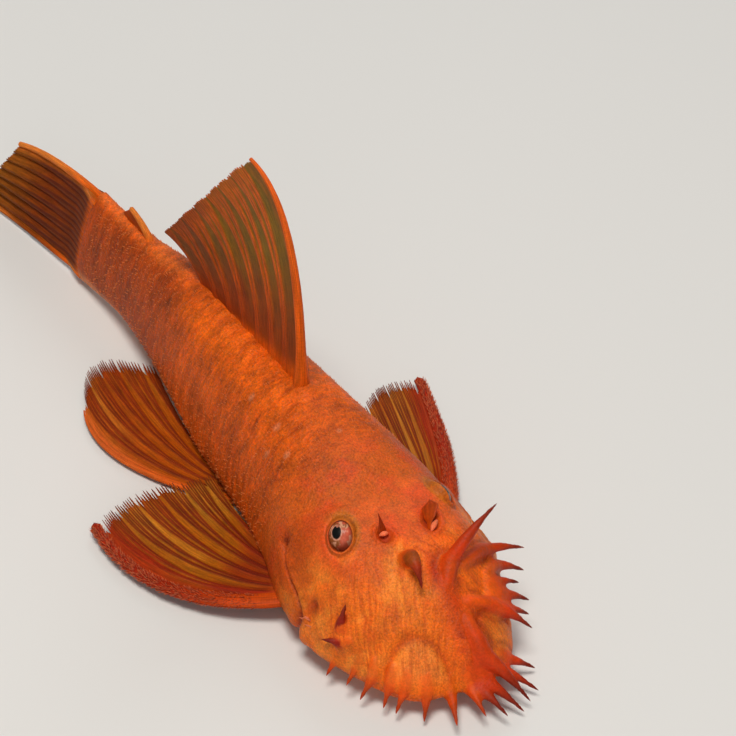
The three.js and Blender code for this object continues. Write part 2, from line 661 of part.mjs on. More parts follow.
// Sucker mouth: a lipped disc under the snout with the mouth opening across it.
function suckerMouth() {
  const segments = 28;
  const centre = { s: 10.2, y: 0 };
  const size = { s: 6.6, y: 7.8, top: 1.35 };
  // [share of the disc radius, height above the floor]
  const profile = [
    [1.0, 1.0], [0.97, 0.35], [0.9, 0], [0.74, 0], [0.66, 0.3], [0.5, 0.45], [0.34, 0.4],
  ];
  const points = [];
  const ringAt = (share, z) => {
    for (let i = 0; i < segments; i++) {
      const a = (2 * pi * i) / segments;
      const scallop = share > 0.95 ? 1 + 0.012 * Math.cos(9 * a) : 1;
      points.push(bent([
        centre.s + size.s * share * scallop * Math.cos(a),
        centre.y + size.y * share * scallop * Math.sin(a),
        z,
      ]));
    }
  };
  ringAt(0.92, size.top);
  profile.forEach(([share, z]) => ringAt(share, z));
  const rings = profile.length + 1;
  const tris = [];
  for (let r = 0; r + 1 < rings; r++) {
    for (let i = 0; i < segments; i++) {
      const a = r * segments + i;
      const b = r * segments + ((i + 1) % segments);
      tris.push([a, b, b + segments], [a, b + segments, a + segments]);
    }
  }
  const top = points.length;
  points.push(bent([centre.s, 0, size.top]), bent([centre.s, 0, 0.4]));
  for (let i = 0; i < segments; i++) {
    const j = (i + 1) % segments;
    tris.push([top, j, i], [top + 1, (rings - 1) * segments + i, (rings - 1) * segments + j]);
  }
  const slit = ball(bent([centre.s - 0.6, 0, 0.35]), [1.1, 2.3, 0.75], 12, 6);
  return largest(solid(points, tris).subtract(slit));
}
const mouthRoom = 0.28;
const mouthSolid = suckerMouth().subtract(bodyWithGap.translate([0, 0, mouthRoom - gap]));

const finOf = (fin, extra = []) => largest(grounded(union([finSheet(fin), ...extra])).subtract(bodyWithGap));
const rightPectoral = pectoral(-1, [30.0, 28.6], [48.3, 25.8], [48.4, 9.8]);
const leftPectoral = pectoral(1, [35.6, 21.2], [51.6, 25.7], [48.8, 12.0]);
const rightPelvic = pelvic(-1, 21.7, [70.0, 15.1], [72.0, 3.9], 6.3);
const leftPelvic = pelvic(1, 16.6, [71.8, 12.6], [70.2, 7.0], 3.4);

const spinePath = (t) => dorsal.shape(bezier(dorsal.base[0], dorsal.control[0], dorsal.tip[0], t), 0, t);
const dorsalSpine = horn(spinePath, (t) => mix(0.85, 0.4, t), 8, 9);

const nodes = {
  head: [headSolid, 'skin'],
  mouth: [largest(mouthSolid), 'lip'],
  trunk: [largest(trunkSolid), 'skin'],
  tail: [largest(tailSolid), 'skin'],
  dorsal_fin: [finOf(dorsal, [dorsalSpine]), 'fin'],
  adipose_fin: [finOf(adipose), 'fin'],
  caudal_fin: [finOf(caudal), 'fin'],
  anal_fin: [finOf(anal), 'fin'],
  pectoral_fin_right: [finOf(rightPectoral, [finSpine(rightPectoral, 1.2, 0.6, 15, 5)]), 'fin'],
  pectoral_fin_left: [finOf(leftPectoral, [finSpine(leftPectoral, 1.2, 0.6, 15, 9)]), 'fin'],
  pelvic_fin_right: [finOf(rightPelvic, [finSpine(rightPelvic, 0.8, 0.4, 0, 2)]), 'fin'],
  pelvic_fin_left: [finOf(leftPelvic, [finSpine(leftPelvic, 0.8, 0.4, 0, 3)]), 'fin'],
  eye_right: [eyeSolids.eye_right, 'eye'],
  eye_left: [eyeSolids.eye_left, 'eye'],
};

const materials = {
  skin: new THREE.MeshStandardMaterial({ name: 'skin', color: 0xc9581c, roughness: 0.55 }),
  fin: new THREE.MeshStandardMaterial({ name: 'fin', color: 0xa5421a, roughness: 0.5 }),
  lip: new THREE.MeshStandardMaterial({ name: 'lip', color: 0xd98a5a, roughness: 0.6 }),
  eye: new THREE.MeshStandardMaterial({ name: 'eye', color: 0x1a120e, roughness: 0.1 }),
};

const group = new THREE.Group();
group.name = 'bristlenose_pleco';
const meshes = Object.entries(nodes).map(([name, [shape, slot]]) => {
  const m = shape.getMesh();
  const geometry = new THREE.BufferGeometry();
  const position = new Float32Array(m.numVert * 3);
  for (let i = 0; i < m.numVert; i++)
    for (let k = 0; k < 3; k++) position[i * 3 + k] = m.vertProperties[i * m.numProp + k];
  geometry.setAttribute('position', new THREE.BufferAttribute(position, 3));
  geometry.setIndex(new THREE.BufferAttribute(new Uint32Array(m.triVerts), 1));
  geometry.computeVertexNormals();
  const mesh = new THREE.Mesh(geometry, materials[slot]);
  mesh.name = name;
  return mesh;
});

// The origin sits under the middle of the whole fish, on the floor.
const box = new THREE.Box3();
meshes.forEach((m) => {
  m.geometry.computeBoundingBox();
  box.union(m.geometry.boundingBox);
});
const shift = [-(box.min.x + box.max.x) / 2, -(box.min.y + box.max.y) / 2, -box.min.z];
meshes.forEach((m) => {
  m.geometry.translate(...shift);
  group.add(m);
});

export default group;
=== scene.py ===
import math

import bmesh
import bpy
import numpy as np
from mathutils import Matrix, Vector
from mathutils.bvhtree import BVHTree


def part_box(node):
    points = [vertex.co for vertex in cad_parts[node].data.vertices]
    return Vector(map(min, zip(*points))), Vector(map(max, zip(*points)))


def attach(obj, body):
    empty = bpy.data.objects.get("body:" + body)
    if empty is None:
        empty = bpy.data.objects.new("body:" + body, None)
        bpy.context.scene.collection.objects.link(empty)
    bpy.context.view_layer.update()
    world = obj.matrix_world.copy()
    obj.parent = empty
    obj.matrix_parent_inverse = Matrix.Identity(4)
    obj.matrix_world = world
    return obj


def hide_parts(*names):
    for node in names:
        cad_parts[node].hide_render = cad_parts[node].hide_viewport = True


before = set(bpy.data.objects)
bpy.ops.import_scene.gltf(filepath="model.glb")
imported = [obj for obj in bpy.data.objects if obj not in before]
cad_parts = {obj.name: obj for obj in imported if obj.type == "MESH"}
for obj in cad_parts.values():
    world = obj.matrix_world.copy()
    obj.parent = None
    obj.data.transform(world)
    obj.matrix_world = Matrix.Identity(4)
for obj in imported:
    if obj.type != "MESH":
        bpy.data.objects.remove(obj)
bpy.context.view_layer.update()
mm = 0.001
pi = math.pi

# The fish is laid out straight first, in millimetres: s runs back from the snout tip,
# y to the fish's left and z up from the floor. bent() then curves it in plan and leans it.


def mix(a, b, t):
    return a + (b - a) * t


def ease(a, b, x):
    t = np.clip((x - a) / (b - a), 0.0, 1.0)
    return t * t * (3.0 - 2.0 * t)


def bump(x, width):
    return np.exp(-(x * x) / (width * width))


def unit(a):
    a = np.asarray(a, float)
    return a / np.maximum(np.linalg.norm(a, axis=-1, keepdims=True), 1e-12)


def curve(table):
    # shape-preserving cubic through a few stations along the body
    xs = np.array([p[0] for p in table], float)
    ys = np.array([p[1] for p in table], float)
    slope = np.diff(ys) / np.diff(xs)
    m = np.zeros(len(xs))
    m[0] = slope[0]
    m[-1] = slope[-1]
    before = slope[:-1]
    after = slope[1:]
    same = before * after > 0
    m[1:-1] = np.where(same, 2 * before * after / np.where(same, before + after, 1.0), 0.0)

    def value(x):
        q = np.clip(np.asarray(x, float), xs[0], xs[-1])
        i = np.clip(np.searchsorted(xs, q, side="left") - 1, 0, len(xs) - 2)
        d = xs[i + 1] - xs[i]
        t = (q - xs[i]) / d
        rise = ys[i] * (1 + 2 * t) * (1 - t) ** 2 + m[i] * d * t * (1 - t) ** 2
        return rise + ys[i + 1] * t * t * (3 - 2 * t) + m[i + 1] * d * t * t * (t - 1)

    return value


# any odd numbers do for scattering the corners of the noise
scatter = {"x": 127.1, "y": 311.7, "seed": 17.3, "octave": 5.1, "gain": 43758.5453}


def smoothNoise(x, y, seed, octaves=3):
    # cheap value noise on the plane, the same on every run
    total = np.zeros(np.broadcast(x, y).shape)
    size = 1.0
    for octave in range(octaves):
        gx = np.floor(x * size)
        gy = np.floor(y * size)
        fx = x * size - gx
        fy = y * size - gy
        fx = fx * fx * (3 - 2 * fx)
        fy = fy * fy * (3 - 2 * fy)

        def corner(dx, dy):
            turn = (gx + dx) * scatter["x"] + (gy + dy) * scatter["y"] + seed * scatter["seed"]
            wave = np.sin(turn + octave * scatter["octave"]) * scatter["gain"]
            return wave - np.floor(wave)

        low = mix(corner(0, 0), corner(1, 0), fx)
        high = mix(corner(0, 1), corner(1, 1), fx)
        total += (mix(low, high, fy) - 0.5) / size
        size *= 2.1
    return total


# The body's own curve and sections, as in the solids
bodyLength = 92
fish = {
    "turn": {"trunk": 0.0982 / bodyLength, "peduncle": 0.376 / bodyLength, "fin": 0.48 / bodyLength},
    "reach": {"trunk": 30.4, "peduncle": 69.0, "fin": 92.0},
    "backHeight": [
        (-0.6, 3.6), (0, 4.6), (1.2, 6.4), (3.7, 8.8), (9.2, 12.7), (15.2, 15.5),
        (21.6, 16.2), (26, 17.0), (30.4, 17.9), (36, 18.5), (41.9, 18.6), (55.2, 17.9),
        (62, 17.6), (69, 16.9), (76, 15.4), (82.8, 14.4), (88, 14.4), (93, 15.0),
    ],
    "halfWidth": [
        (-0.6, 2.2), (0, 4.2), (1.2, 6.5), (3.7, 9.0), (9.2, 11.7), (15.2, 13.4),
        (21.6, 13.4), (26, 12.7), (30.4, 11.5), (36, 10.2), (41.9, 9.2), (55.2, 7.7),
        (62, 6.7), (69, 5.4), (76, 4.3), (82.8, 3.1), (88, 2.5), (93, 2.1),
    ],
    "bellyHeight": [
        (-0.6, 3.0), (0, 2.5), (1.2, 2.2), (3.7, 1.95), (9.2, 1.7), (17, 1.65),
        (20, 1.2), (23, 0.2), (25, -0.3), (54, -0.3), (57.5, 0.6), (60, 1.35),
        (64, 1.8), (72, 1.9), (80, 1.6), (88, 1.0), (93, 0.7),
    ],
    "lean": [
        (-0.6, 0), (4, 0.35), (12, 1.1), (19, 0.75), (27, 0.5), (35, 0.6), (44, 1.05),
        (54, 1.3), (64, 1.75), (74, 2.4), (84, 2.9), (93, 3.3), (118, 3.7),
    ],
    "section": {  # how high it is widest, then how full it is above and below that line
        "widest": (0.28, 0.17), "leastRise": 0.6, "top": (1.12, 0.95), "upper": 0.9, "lower": (0.55, 0.35),
        "under": (0.7, 0.25),
    },
    "ends": (-0.6, 93.4),
}
backHeight = curve(fish["backHeight"])
halfWidth = curve(fish["halfWidth"])
bellyHeight = curve(fish["bellyHeight"])
leanAt = curve(fish["lean"])


def headingAt(s):
    turn = fish["turn"]
    reach = fish["reach"]
    s = np.asarray(s, float)
    heading = (np.clip(s, reach["trunk"], reach["peduncle"]) - reach["trunk"]) * turn["trunk"]
    heading = heading + (np.clip(s, reach["peduncle"], reach["fin"]) - reach["peduncle"]) * turn["peduncle"]
    return heading + np.maximum(0, s - reach["fin"]) * turn["fin"]


spineStep = 0.5
spineS = np.arange(-10, 140 + spineStep / 2, spineStep)
spineTurn = headingAt(spineS[:-1] + spineStep / 2)
spineX = np.concatenate([[10.0], 10.0 - np.cumsum(np.cos(spineTurn)) * spineStep])
spineY = np.concatenate([[0.0], -np.cumsum(np.sin(spineTurn)) * spineStep])


def bent(p):
    p = np.asarray(p, float)
    s = p[..., 0]
    a = headingAt(s)
    cx = np.interp(s, spineS, spineX)
    cy = np.interp(s, spineS, spineY)
    across = p[..., 1] - leanAt(s) * np.clip(1 - p[..., 2] / backHeight(s), 0, 1)
    return np.stack([cx - np.sin(a) * across, cy + np.cos(a) * across, p[..., 2]], -1)


def midHeight(s):
    return (backHeight(s) + bellyHeight(s)) / 2


def bodyPoint(s, angle):
    # the smooth body: angle 0 is its left side, a quarter turn its back
    section = fish["section"]
    h = backHeight(s)
    low = bellyHeight(s)
    least, more = section["widest"]
    wide = np.maximum((least + more * ease(55, 82, s)) * h, low + section["leastRise"])
    c = np.cos(angle)
    r = np.sin(angle)
    rise = mix(*section["top"], ease(17, 30, s))
    boxy = ease(58, 80, s)
    upper = r >= 0
    side = np.abs(c)
    least, more = section["lower"]
    y = halfWidth(s) * np.sign(c) * np.where(upper, side ** section["upper"], side ** (least + more * boxy))
    lift = np.abs(r)
    least, more = section["under"]
    below = wide - (wide - low) * lift ** (least + more * boxy)
    z = np.where(upper, wide + (h - wide) * lift ** rise, below)
    return np.stack([s + 0 * y, y, z], -1)


def topAt(s, y):
    c = np.clip(np.abs(y) / halfWidth(s), 0, 1) ** (1 / fish["section"]["upper"])
    return float(bodyPoint(np.float64(s), np.arccos(c))[2])


# The head is turned a hair to its left, so its features lie a little that way.
eye = {
    "s": 20.3, "y": 7.55, "proud": 0.5, "radius": 2.2, "bulge": 0.03, "depth": 1.5,
    "look": (-0.2, 0.52, 0.83),
}
askew = {"eyeS": 0.6, "eyeY": 0.55, "nostrilY": 0.75}


def eyeCentre(side):
    s = eye["s"] + askew["eyeS"] * side
    y = eye["y"] * side + askew["eyeY"]
    surface = np.array([s, y, topAt(s, y) + eye["proud"]])
    look = unit([eye["look"][0], eye["look"][1] * side, eye["look"][2]])
    return surface - look * eye["depth"]


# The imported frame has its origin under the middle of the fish. The right eye ties the two.
eyeLow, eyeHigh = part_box("eye_right")
frameShift = np.array((eyeLow + eyeHigh) / 2) / mm - bent(eyeCentre(-1))
frameShift[2] = 0.0


def placed(p):
    return (bent(p) + frameShift) * mm


print("layout: frame shift", np.round(frameShift, 3))

# Camera: the photo's viewing angle, found from the fish's own landmarks
photoView = {
    "place": (236.8146, -167.2749, 319.3078),
    "right": (0.50398208, 0.8627843, 0.04006628),
    "up": (-0.59749531, 0.31476892, 0.73750924),
    "lens": 169.2,
    "sensor": 36.0,
    "clip": (0.02, 10.0),
}


def makeCamera():
    bpy.ops.object.camera_add()
    camera = bpy.context.object
    camera.name = "photo_camera"
    right = Vector(photoView["right"])
    up = Vector(photoView["up"])
    back = right.cross(up)
    turned = Matrix((right, up, back)).transposed().to_4x4()
    place = (np.array(photoView["place"]) + frameShift) * mm
    camera.matrix_world = Matrix.Translation(Vector(place)) @ turned
    camera.data.sensor_width = photoView["sensor"]
    camera.data.lens = photoView["lens"]
    camera.data.clip_start, camera.data.clip_end = photoView["clip"]
    bpy.context.scene.camera = camera


studio = {
    "key": {"place": (0.10, -0.12, 0.66), "size": 0.26, "power": 3.3, "colour": (1.0, 0.955, 0.89)},
    "fill": {"place": (0.55, -0.30, 0.30), "size": 0.45, "power": 0.55, "colour": (1.0, 0.97, 0.93)},
    "rim": {"place": (-0.42, 0.40, 0.46), "size": 0.35, "power": 0.9, "colour": (0.95, 0.98, 1.0)},
    "room": {"colour": (0.86, 0.87, 0.88), "strength": 0.20},
    "floor": {"colour": (0.74, 0.735, 0.72), "roughness": 0.85, "width": 6.0, "below": 0.00006},
    "exposure": 0.0,
    "target": (0.0, 0.0, 0.008),
}


def aimed(place):
    away = Vector(place) - Vector(studio["target"])
    return Matrix.Translation(Vector(place)) @ away.to_track_quat("Z", "Y").to_matrix().to_4x4()


def makeStudio():
    for name in ("key", "fill", "rim"):
        plan = studio[name]
        bpy.ops.object.light_add(type="AREA")
        light = bpy.context.object
        light.name = name + "_light"
        light.data.shape = "DISK"
        light.data.size = plan["size"]
        light.data.energy = plan["power"]
        light.data.color = plan["colour"]
        light.matrix_world = aimed(plan["place"])
    world = bpy.data.worlds.new("studio")
    bpy.context.scene.world = world
    world.use_nodes = True
    room = world.node_tree.nodes["Background"]
    room.inputs["Color"].default_value = (*studio["room"]["colour"], 1.0)
    room.inputs["Strength"].default_value = studio["room"]["strength"]
    view = bpy.context.scene.view_settings
    view.view_transform = "Standard"
    view.exposure = studio["exposure"]
    plan = studio["floor"]
    bpy.ops.mesh.primitive_plane_add(size=plan["width"], location=(0, 0, -plan["below"]))
    floor = bpy.context.object
    floor.name = "studio_floor"
    bpy.ops.object.transform_apply(location=True)
    paper = bpy.data.materials.new("floor_paper")
    paper.use_nodes = True
    shader = paper.node_tree.nodes["Principled BSDF"]
    shader.inputs["Base Color"].default_value = (*plan["colour"], 1.0)
    shader.inputs["Roughness"].default_value = plan["roughness"]
    floor.data.materials.append(paper)


bpy.ops.object.select_all(action="DESELECT")
makeCamera()
makeStudio()
print("camera and studio made")


# Colours as they should look under these lights, turned into the paint that gives them
lit = {"gain": 0.8, "shine": 0.012, "least": 0.002, "most": 0.95}


def paint(red, green, blue):
    c = np.array([red, green, blue], float) / 255.0
    seen = np.where(c <= 0.04045, c / 12.92, ((c + 0.055) / 1.055) ** 2.4)
    return np.clip((seen - lit["shine"]) / lit["gain"], lit["least"], lit["most"])


def paints(chart):
    return {name: paint(*value) for name, value in chart.items()}


def plain(colour, like):
    return np.broadcast_to(colour, (*np.shape(like), 3))


def over(base, colour, weight):
    return base + (colour - base) * np.clip(weight, 0, 1)[..., None]


def layered(tone, chart, layers):
    for name, weight in layers:
        tone = over(tone, chart[name], weight)
    return tone


# Mesh helpers
def readPoints(piece):
    co = np.zeros(len(piece.data.vertices) * 3)
    piece.data.vertices.foreach_get("co", co)
    return co.reshape(-1, 3)


def writePoints(piece, co):
    piece.data.vertices.foreach_set("co", np.ascontiguousarray(co, dtype=np.float32).ravel())
    piece.data.update()


def pieceFrom(name, points, faces):
    mesh = bpy.data.meshes.new(name)
    mesh.from_pydata(points.tolist(), [], faces.tolist() if hasattr(faces, "tolist") else faces)
    mesh.validate()
    piece = bpy.data.objects.new(name, mesh)
    bpy.context.scene.collection.objects.link(piece)
    mesh.polygons.foreach_set("use_smooth", np.ones(len(mesh.polygons), bool))
    return piece


def onlyActive(*pieces):
    bpy.ops.object.select_all(action="DESELECT")
    for piece in pieces:
        piece.select_set(True)
    bpy.context.view_layer.objects.active = pieces[0]


def merged(name, *pieces):
    onlyActive(*pieces)
    if len(pieces) > 1:
        bpy.ops.object.join()
    pieces[0].name = name
    return pieces[0]


def inEdit(piece, step, **settings):
    # one editing step on the whole mesh
    onlyActive(piece)
    bpy.ops.object.mode_set(mode="EDIT")
    bpy.ops.mesh.select_all(action="SELECT")
    step(**settings)
    bpy.ops.object.mode_set(mode="OBJECT")


def weld(piece, reach):
    inEdit(piece, bpy.ops.mesh.remove_doubles, threshold=reach)


def faceOutwards(piece):
    # bending from the straight fish mirrors a mesh, so every shell is turned to face out
    inEdit(piece, bpy.ops.mesh.normals_make_consistent, inside=False)


def giveVector(piece, name, values):
    layer = piece.data.attributes.new(name, "FLOAT_VECTOR", "POINT")
    layer.data.foreach_set("vector", np.ascontiguousarray(values, dtype=np.float32).ravel())


def giveTone(piece, values):
    layer = piece.data.attributes.new("tone", "FLOAT_COLOR", "POINT")
    rgba = np.concatenate([values, np.ones((len(values), 1))], 1)
    layer.data.foreach_set("color", np.ascontiguousarray(rgba, dtype=np.float32).ravel())


def gridFaces(rows, columns, wrap=False):
    i, j = np.meshgrid(np.arange(rows - 1), np.arange(columns if wrap else columns - 1), indexing="ij")
    k = (j + 1) % columns
    quads = np.stack([i * columns + j, i * columns + k, (i + 1) * columns + k, (i + 1) * columns + j], -1)
    return quads.reshape(-1, 4)


def tube(path, radii, sides, flat=1.0, lean=(0.0, 0.0, 1.0)):
    # closed tapered tube along a path: its rings, then a point at each end
    n = len(path)
    ahead = unit(np.gradient(path, axis=0))
    side = unit(np.cross(ahead, np.broadcast_to(np.array(lean), ahead.shape) + 1e-4))
    up = np.cross(side, ahead)
    a = 2 * pi * (np.arange(sides) + 0.5) / sides
    r = np.asarray(radii)[:, None, None]
    ring = side[:, None] * np.cos(a)[None, :, None] + up[:, None] * (flat * np.sin(a))[None, :, None]
    points = (path[:, None] + ring * r).reshape(-1, 3)
    faces = gridFaces(n, sides, wrap=True)[:, ::-1].tolist()
    root = path[:1] - ahead[:1] * radii[0] * 0.3
    tip = path[-1:] + ahead[-1:] * radii[-1]
    points = np.concatenate([points, root, tip])
    first = n * sides
    for j in range(sides):
        k = (j + 1) % sides
        faces.append([first, j, k])
        faces.append([first + 1, (n - 1) * sides + k, (n - 1) * sides + j])
    return points, faces


def gather(parts):
    points = []
    faces = []
    offset = 0
    for p, f in parts:
        points.append(p)
        faces += [[v + offset for v in face] for face in f]
        offset += len(p)
    return np.concatenate(points), faces


def bezier(a, b, c, t):
    a, b, c = (np.asarray(x, float) for x in (a, b, c))
    t = np.asarray(t, float)[..., None]
    return a * (1 - t) ** 2 + 2 * b * t * (1 - t) + c * t * t


# Materials
def plug(tree, node, inputs):
    for name, value in inputs.items():
        if isinstance(value, bpy.types.NodeSocket):
            tree.links.new(value, node.inputs[name])
        else:
            node.inputs[name].default_value = value


def wire(tree, kind, inputs, **settings):
    made = tree.nodes.new(kind)
    for name, value in settings.items():
        setattr(made, name, value)
    plug(tree, made, inputs)
    return made


def blendNode(tree, amount, first, second, how="MIX"):
    inputs = {0: amount, 6: first, 7: second}
    return wire(tree, "ShaderNodeMix", inputs, data_type="RGBA", blend_type=how).outputs[2]


def mathNode(tree, how, first, second=0.0, third=0.0):
    return wire(tree, "ShaderNodeMath", {0: first, 1: second, 2: third}, operation=how).outputs[0]


def timesNode(tree, first, second):
    return mathNode(tree, "MULTIPLY", first, second)


def rangeNode(tree, value, low, high, toLow=0.0, toHigh=1.0):
    return wire(tree, "ShaderNodeMapRange", {0: value, 1: low, 2: high, 3: toLow, 4: toHigh}).outputs[0]


def scaledNode(tree, colour, amount):
    return wire(tree, "ShaderNodeVectorMath", {0: colour, "Scale": amount}, operation="SCALE").outputs[0]


def stretchedNode(tree, place, scale):
    return wire(tree, "ShaderNodeMapping", {"Vector": place, "Scale": scale}).outputs[0]


def noiseNode(tree, place, scale, detail, roughness=0.5):
    inputs = {"Vector": place, "Scale": scale, "Detail": detail, "Roughness": roughness}
    return wire(tree, "ShaderNodeTexNoise", inputs).outputs[0]


def cellNode(tree, place, scale):
    inputs = {"Vector": place, "Scale": scale, "Randomness": 1.0}
    return wire(tree, "ShaderNodeTexVoronoi", inputs).outputs["Distance"]


def bumpNode(tree, relief, height):
    inputs = {"Strength": relief["strength"], "Distance": relief["distance"], "Height": height}
    return wire(tree, "ShaderNodeBump", inputs).outputs[0]


def attributeNode(tree, name, kind="Vector"):
    return wire(tree, "ShaderNodeAttribute", {}, attribute_name=name).outputs[kind]


def marksOf(tree):
    return wire(tree, "ShaderNodeSeparateXYZ", {0: attributeNode(tree, "marks")}).outputs


# Each noise is given as its scale, detail and roughness.
mottle = {
    "big": (0.16, 3.0, 0.6), "mid": (0.75, 4.0, 0.65), "fine": (3.4, 3.0, 0.7), "cells": 2.6,
    "bigShare": 0.55, "midShare": 0.45, "poreSize": 0.32, "warmest": 0.5,
}


def makeMottleGroup():
    # soft blotches, fine grains and tiny dark pores laid over a colour
    group = bpy.data.node_groups.new("pleco_mottle", "ShaderNodeTree")
    sockets = [
        ("Place", "INPUT", "Vector"), ("Tone", "INPUT", "Color"), ("Blotches", "INPUT", "Float"),
        ("Grain", "INPUT", "Float"), ("Pores", "INPUT", "Float"), ("Warm", "INPUT", "Color"),
        ("Tone", "OUTPUT", "Color"), ("Grains", "OUTPUT", "Float"),
    ]
    for label, way, kind in sockets:
        group.interface.new_socket(name=label, in_out=way, socket_type="NodeSocket" + kind)
    given = group.nodes.new("NodeGroupInput").outputs
    result = group.nodes.new("NodeGroupOutput")
    place = given["Place"]
    big, mid, fine = (noiseNode(group, place, *mottle[name]) for name in ("big", "mid", "fine"))
    bigPart = timesNode(group, big, mottle["bigShare"])
    blotch = mathNode(group, "ADD", bigPart, timesNode(group, mid, mottle["midShare"]))
    light = rangeNode(group, blotch, 0.35, 0.65, -1.0, 1.0)
    grain = rangeNode(group, fine, 0.3, 0.7, -1.0, 1.0)
    pore = rangeNode(group, cellNode(group, place, mottle["cells"]), 0.0, mottle["poreSize"], 1.0, 0.0)
    gain = timesNode(group, light, given["Blotches"])
    gain = mathNode(group, "ADD", gain, timesNode(group, grain, given["Grain"]))
    gain = mathNode(group, "SUBTRACT", gain, timesNode(group, pore, given["Pores"]))
    gain = mathNode(group, "ADD", gain, 1.0)
    warmth = rangeNode(group, mid, 0.42, 0.66, 0.0, mottle["warmest"])
    warmed = blendNode(group, warmth, scaledNode(group, given["Tone"], gain), given["Warm"], "MULTIPLY")
    plug(group, result, {"Tone": warmed, "Grains": mathNode(group, "SUBTRACT", grain, pore)})
    return group


mottleGroup = makeMottleGroup()


def mottledNode(tree, place, tone, plan, grain, pores):
    inputs = {
        "Place": place, "Tone": tone, "Blotches": plan["blotches"], "Grain": grain, "Pores": pores,
        "Warm": plan["warm"],
    }
    return wire(tree, "ShaderNodeGroup", inputs, node_tree=mottleGroup).outputs


def startMaterial(name, sockets):
    material = bpy.data.materials.new(name)
    material.use_nodes = True
    tree = material.node_tree
    shader = tree.nodes["Principled BSDF"]
    plug(tree, shader, sockets)
    return material, tree, shader


skinFinish = {
    "sockets": {
        "Roughness": 0.5, "Specular IOR Level": 0.2, "Subsurface Weight": 0.1, "Subsurface Scale": 0.0008,
        "Subsurface Radius": (1.0, 0.3, 0.1),
    },
    "roughness": (0.42, 0.58),
    "blotches": 0.24,
    "grain": (0.06, 0.36),  # on smooth skin, then on granular skin
    "pores": (0.03, 0.2),
    "warm": (1.0, 0.72, 0.5, 1.0),
    "streaks": {"noise": (0.85, 4.0, 0.68), "colour": (0.50, 0.062, 0.006, 1.0), "amount": 0.75},
    "rows": {"stretch": (1.5, 0.35, 0.35), "noise": (1.7, 3.0, 0.65), "amount": 0.2},
    "beads": {"scale": 2.9, "size": 0.6, "onSmooth": 0.12},
    "ripple": (5.5, 2.0, 0.6),
    "relief": {"strength": 0.55, "distance": 0.00015, "ripple": 0.5, "streaks": -0.8, "rows": 0.5},
}


def makeSkinMaterial():
    # marks: x how granular, y how streaked along the snout, z how finely rowed across the flank
    plan = skinFinish
    streaks, rows, beads, relief = (plan[name] for name in ("streaks", "rows", "beads", "relief"))
    material, tree, shader = startMaterial("pleco_skin", plan["sockets"])
    laid = attributeNode(tree, "laid")
    granular, streaky, rowed = marksOf(tree)
    streak = rangeNode(tree, noiseNode(tree, attributeNode(tree, "combed"), *streaks["noise"]), 0.42, 0.68)
    streakAmount = timesNode(tree, streak, streaky)
    share = timesNode(tree, streakAmount, streaks["amount"])
    streaked = blendNode(tree, share, attributeNode(tree, "tone", "Color"), streaks["colour"])
    lines = noiseNode(tree, stretchedNode(tree, laid, rows["stretch"]), *rows["noise"])
    lineAmount = timesNode(tree, rangeNode(tree, lines, 0.3, 0.7, -1.0, 1.0), rowed)
    ruled = scaledNode(tree, streaked, mathNode(tree, "MULTIPLY_ADD", lineAmount, rows["amount"], 1.0))
    grain = rangeNode(tree, granular, 0.0, 1.0, *plan["grain"])
    pores = rangeNode(tree, granular, 0.0, 1.0, *plan["pores"])
    mottled = mottledNode(tree, laid, ruled, plan, grain, pores)
    bead = rangeNode(tree, cellNode(tree, laid, beads["scale"]), 0.0, beads["size"], 1.0, 0.0)
    height = timesNode(tree, bead, rangeNode(tree, granular, 0.0, 1.0, beads["onSmooth"], 1.0))
    height = mathNode(tree, "MULTIPLY_ADD", noiseNode(tree, laid, *plan["ripple"]), relief["ripple"], height)
    height = mathNode(tree, "MULTIPLY_ADD", streakAmount, relief["streaks"], height)
    height = mathNode(tree, "MULTIPLY_ADD", lineAmount, relief["rows"], height)
    rough = rangeNode(tree, mottled["Grains"], -1.0, 1.0, *plan["roughness"])
    plug(tree, shader, {
        "Base Color": mottled["Tone"], "Roughness": rough, "Normal": bumpNode(tree, relief, height),
    })
    return material


finFinish = {
    "sockets": {
        "Roughness": 0.52, "Specular IOR Level": 0.1, "Subsurface Weight": 0.08, "Subsurface Scale": 0.0005,
        "Subsurface Radius": (1.0, 0.4, 0.15),
    },
    "blotches": 0.16,
    "grain": 0.16,
    "pores": 0.05,
    "warm": (1.0, 0.76, 0.56, 1.0),
    "clear": 0.02,
    "fibres": {"stretch": (5.0, 0.35, 1.0), "noise": (1.0, 3.0), "shade": (0.66, 1.28)},
    "joints": {"stretch": (0.15, 1.9, 1.0), "scale": 0.9, "distortion": 1.2, "dark": 0.14},
    "relief": {"strength": 0.45, "distance": 0.00010, "fibres": 0.7, "joints": -0.6},
}


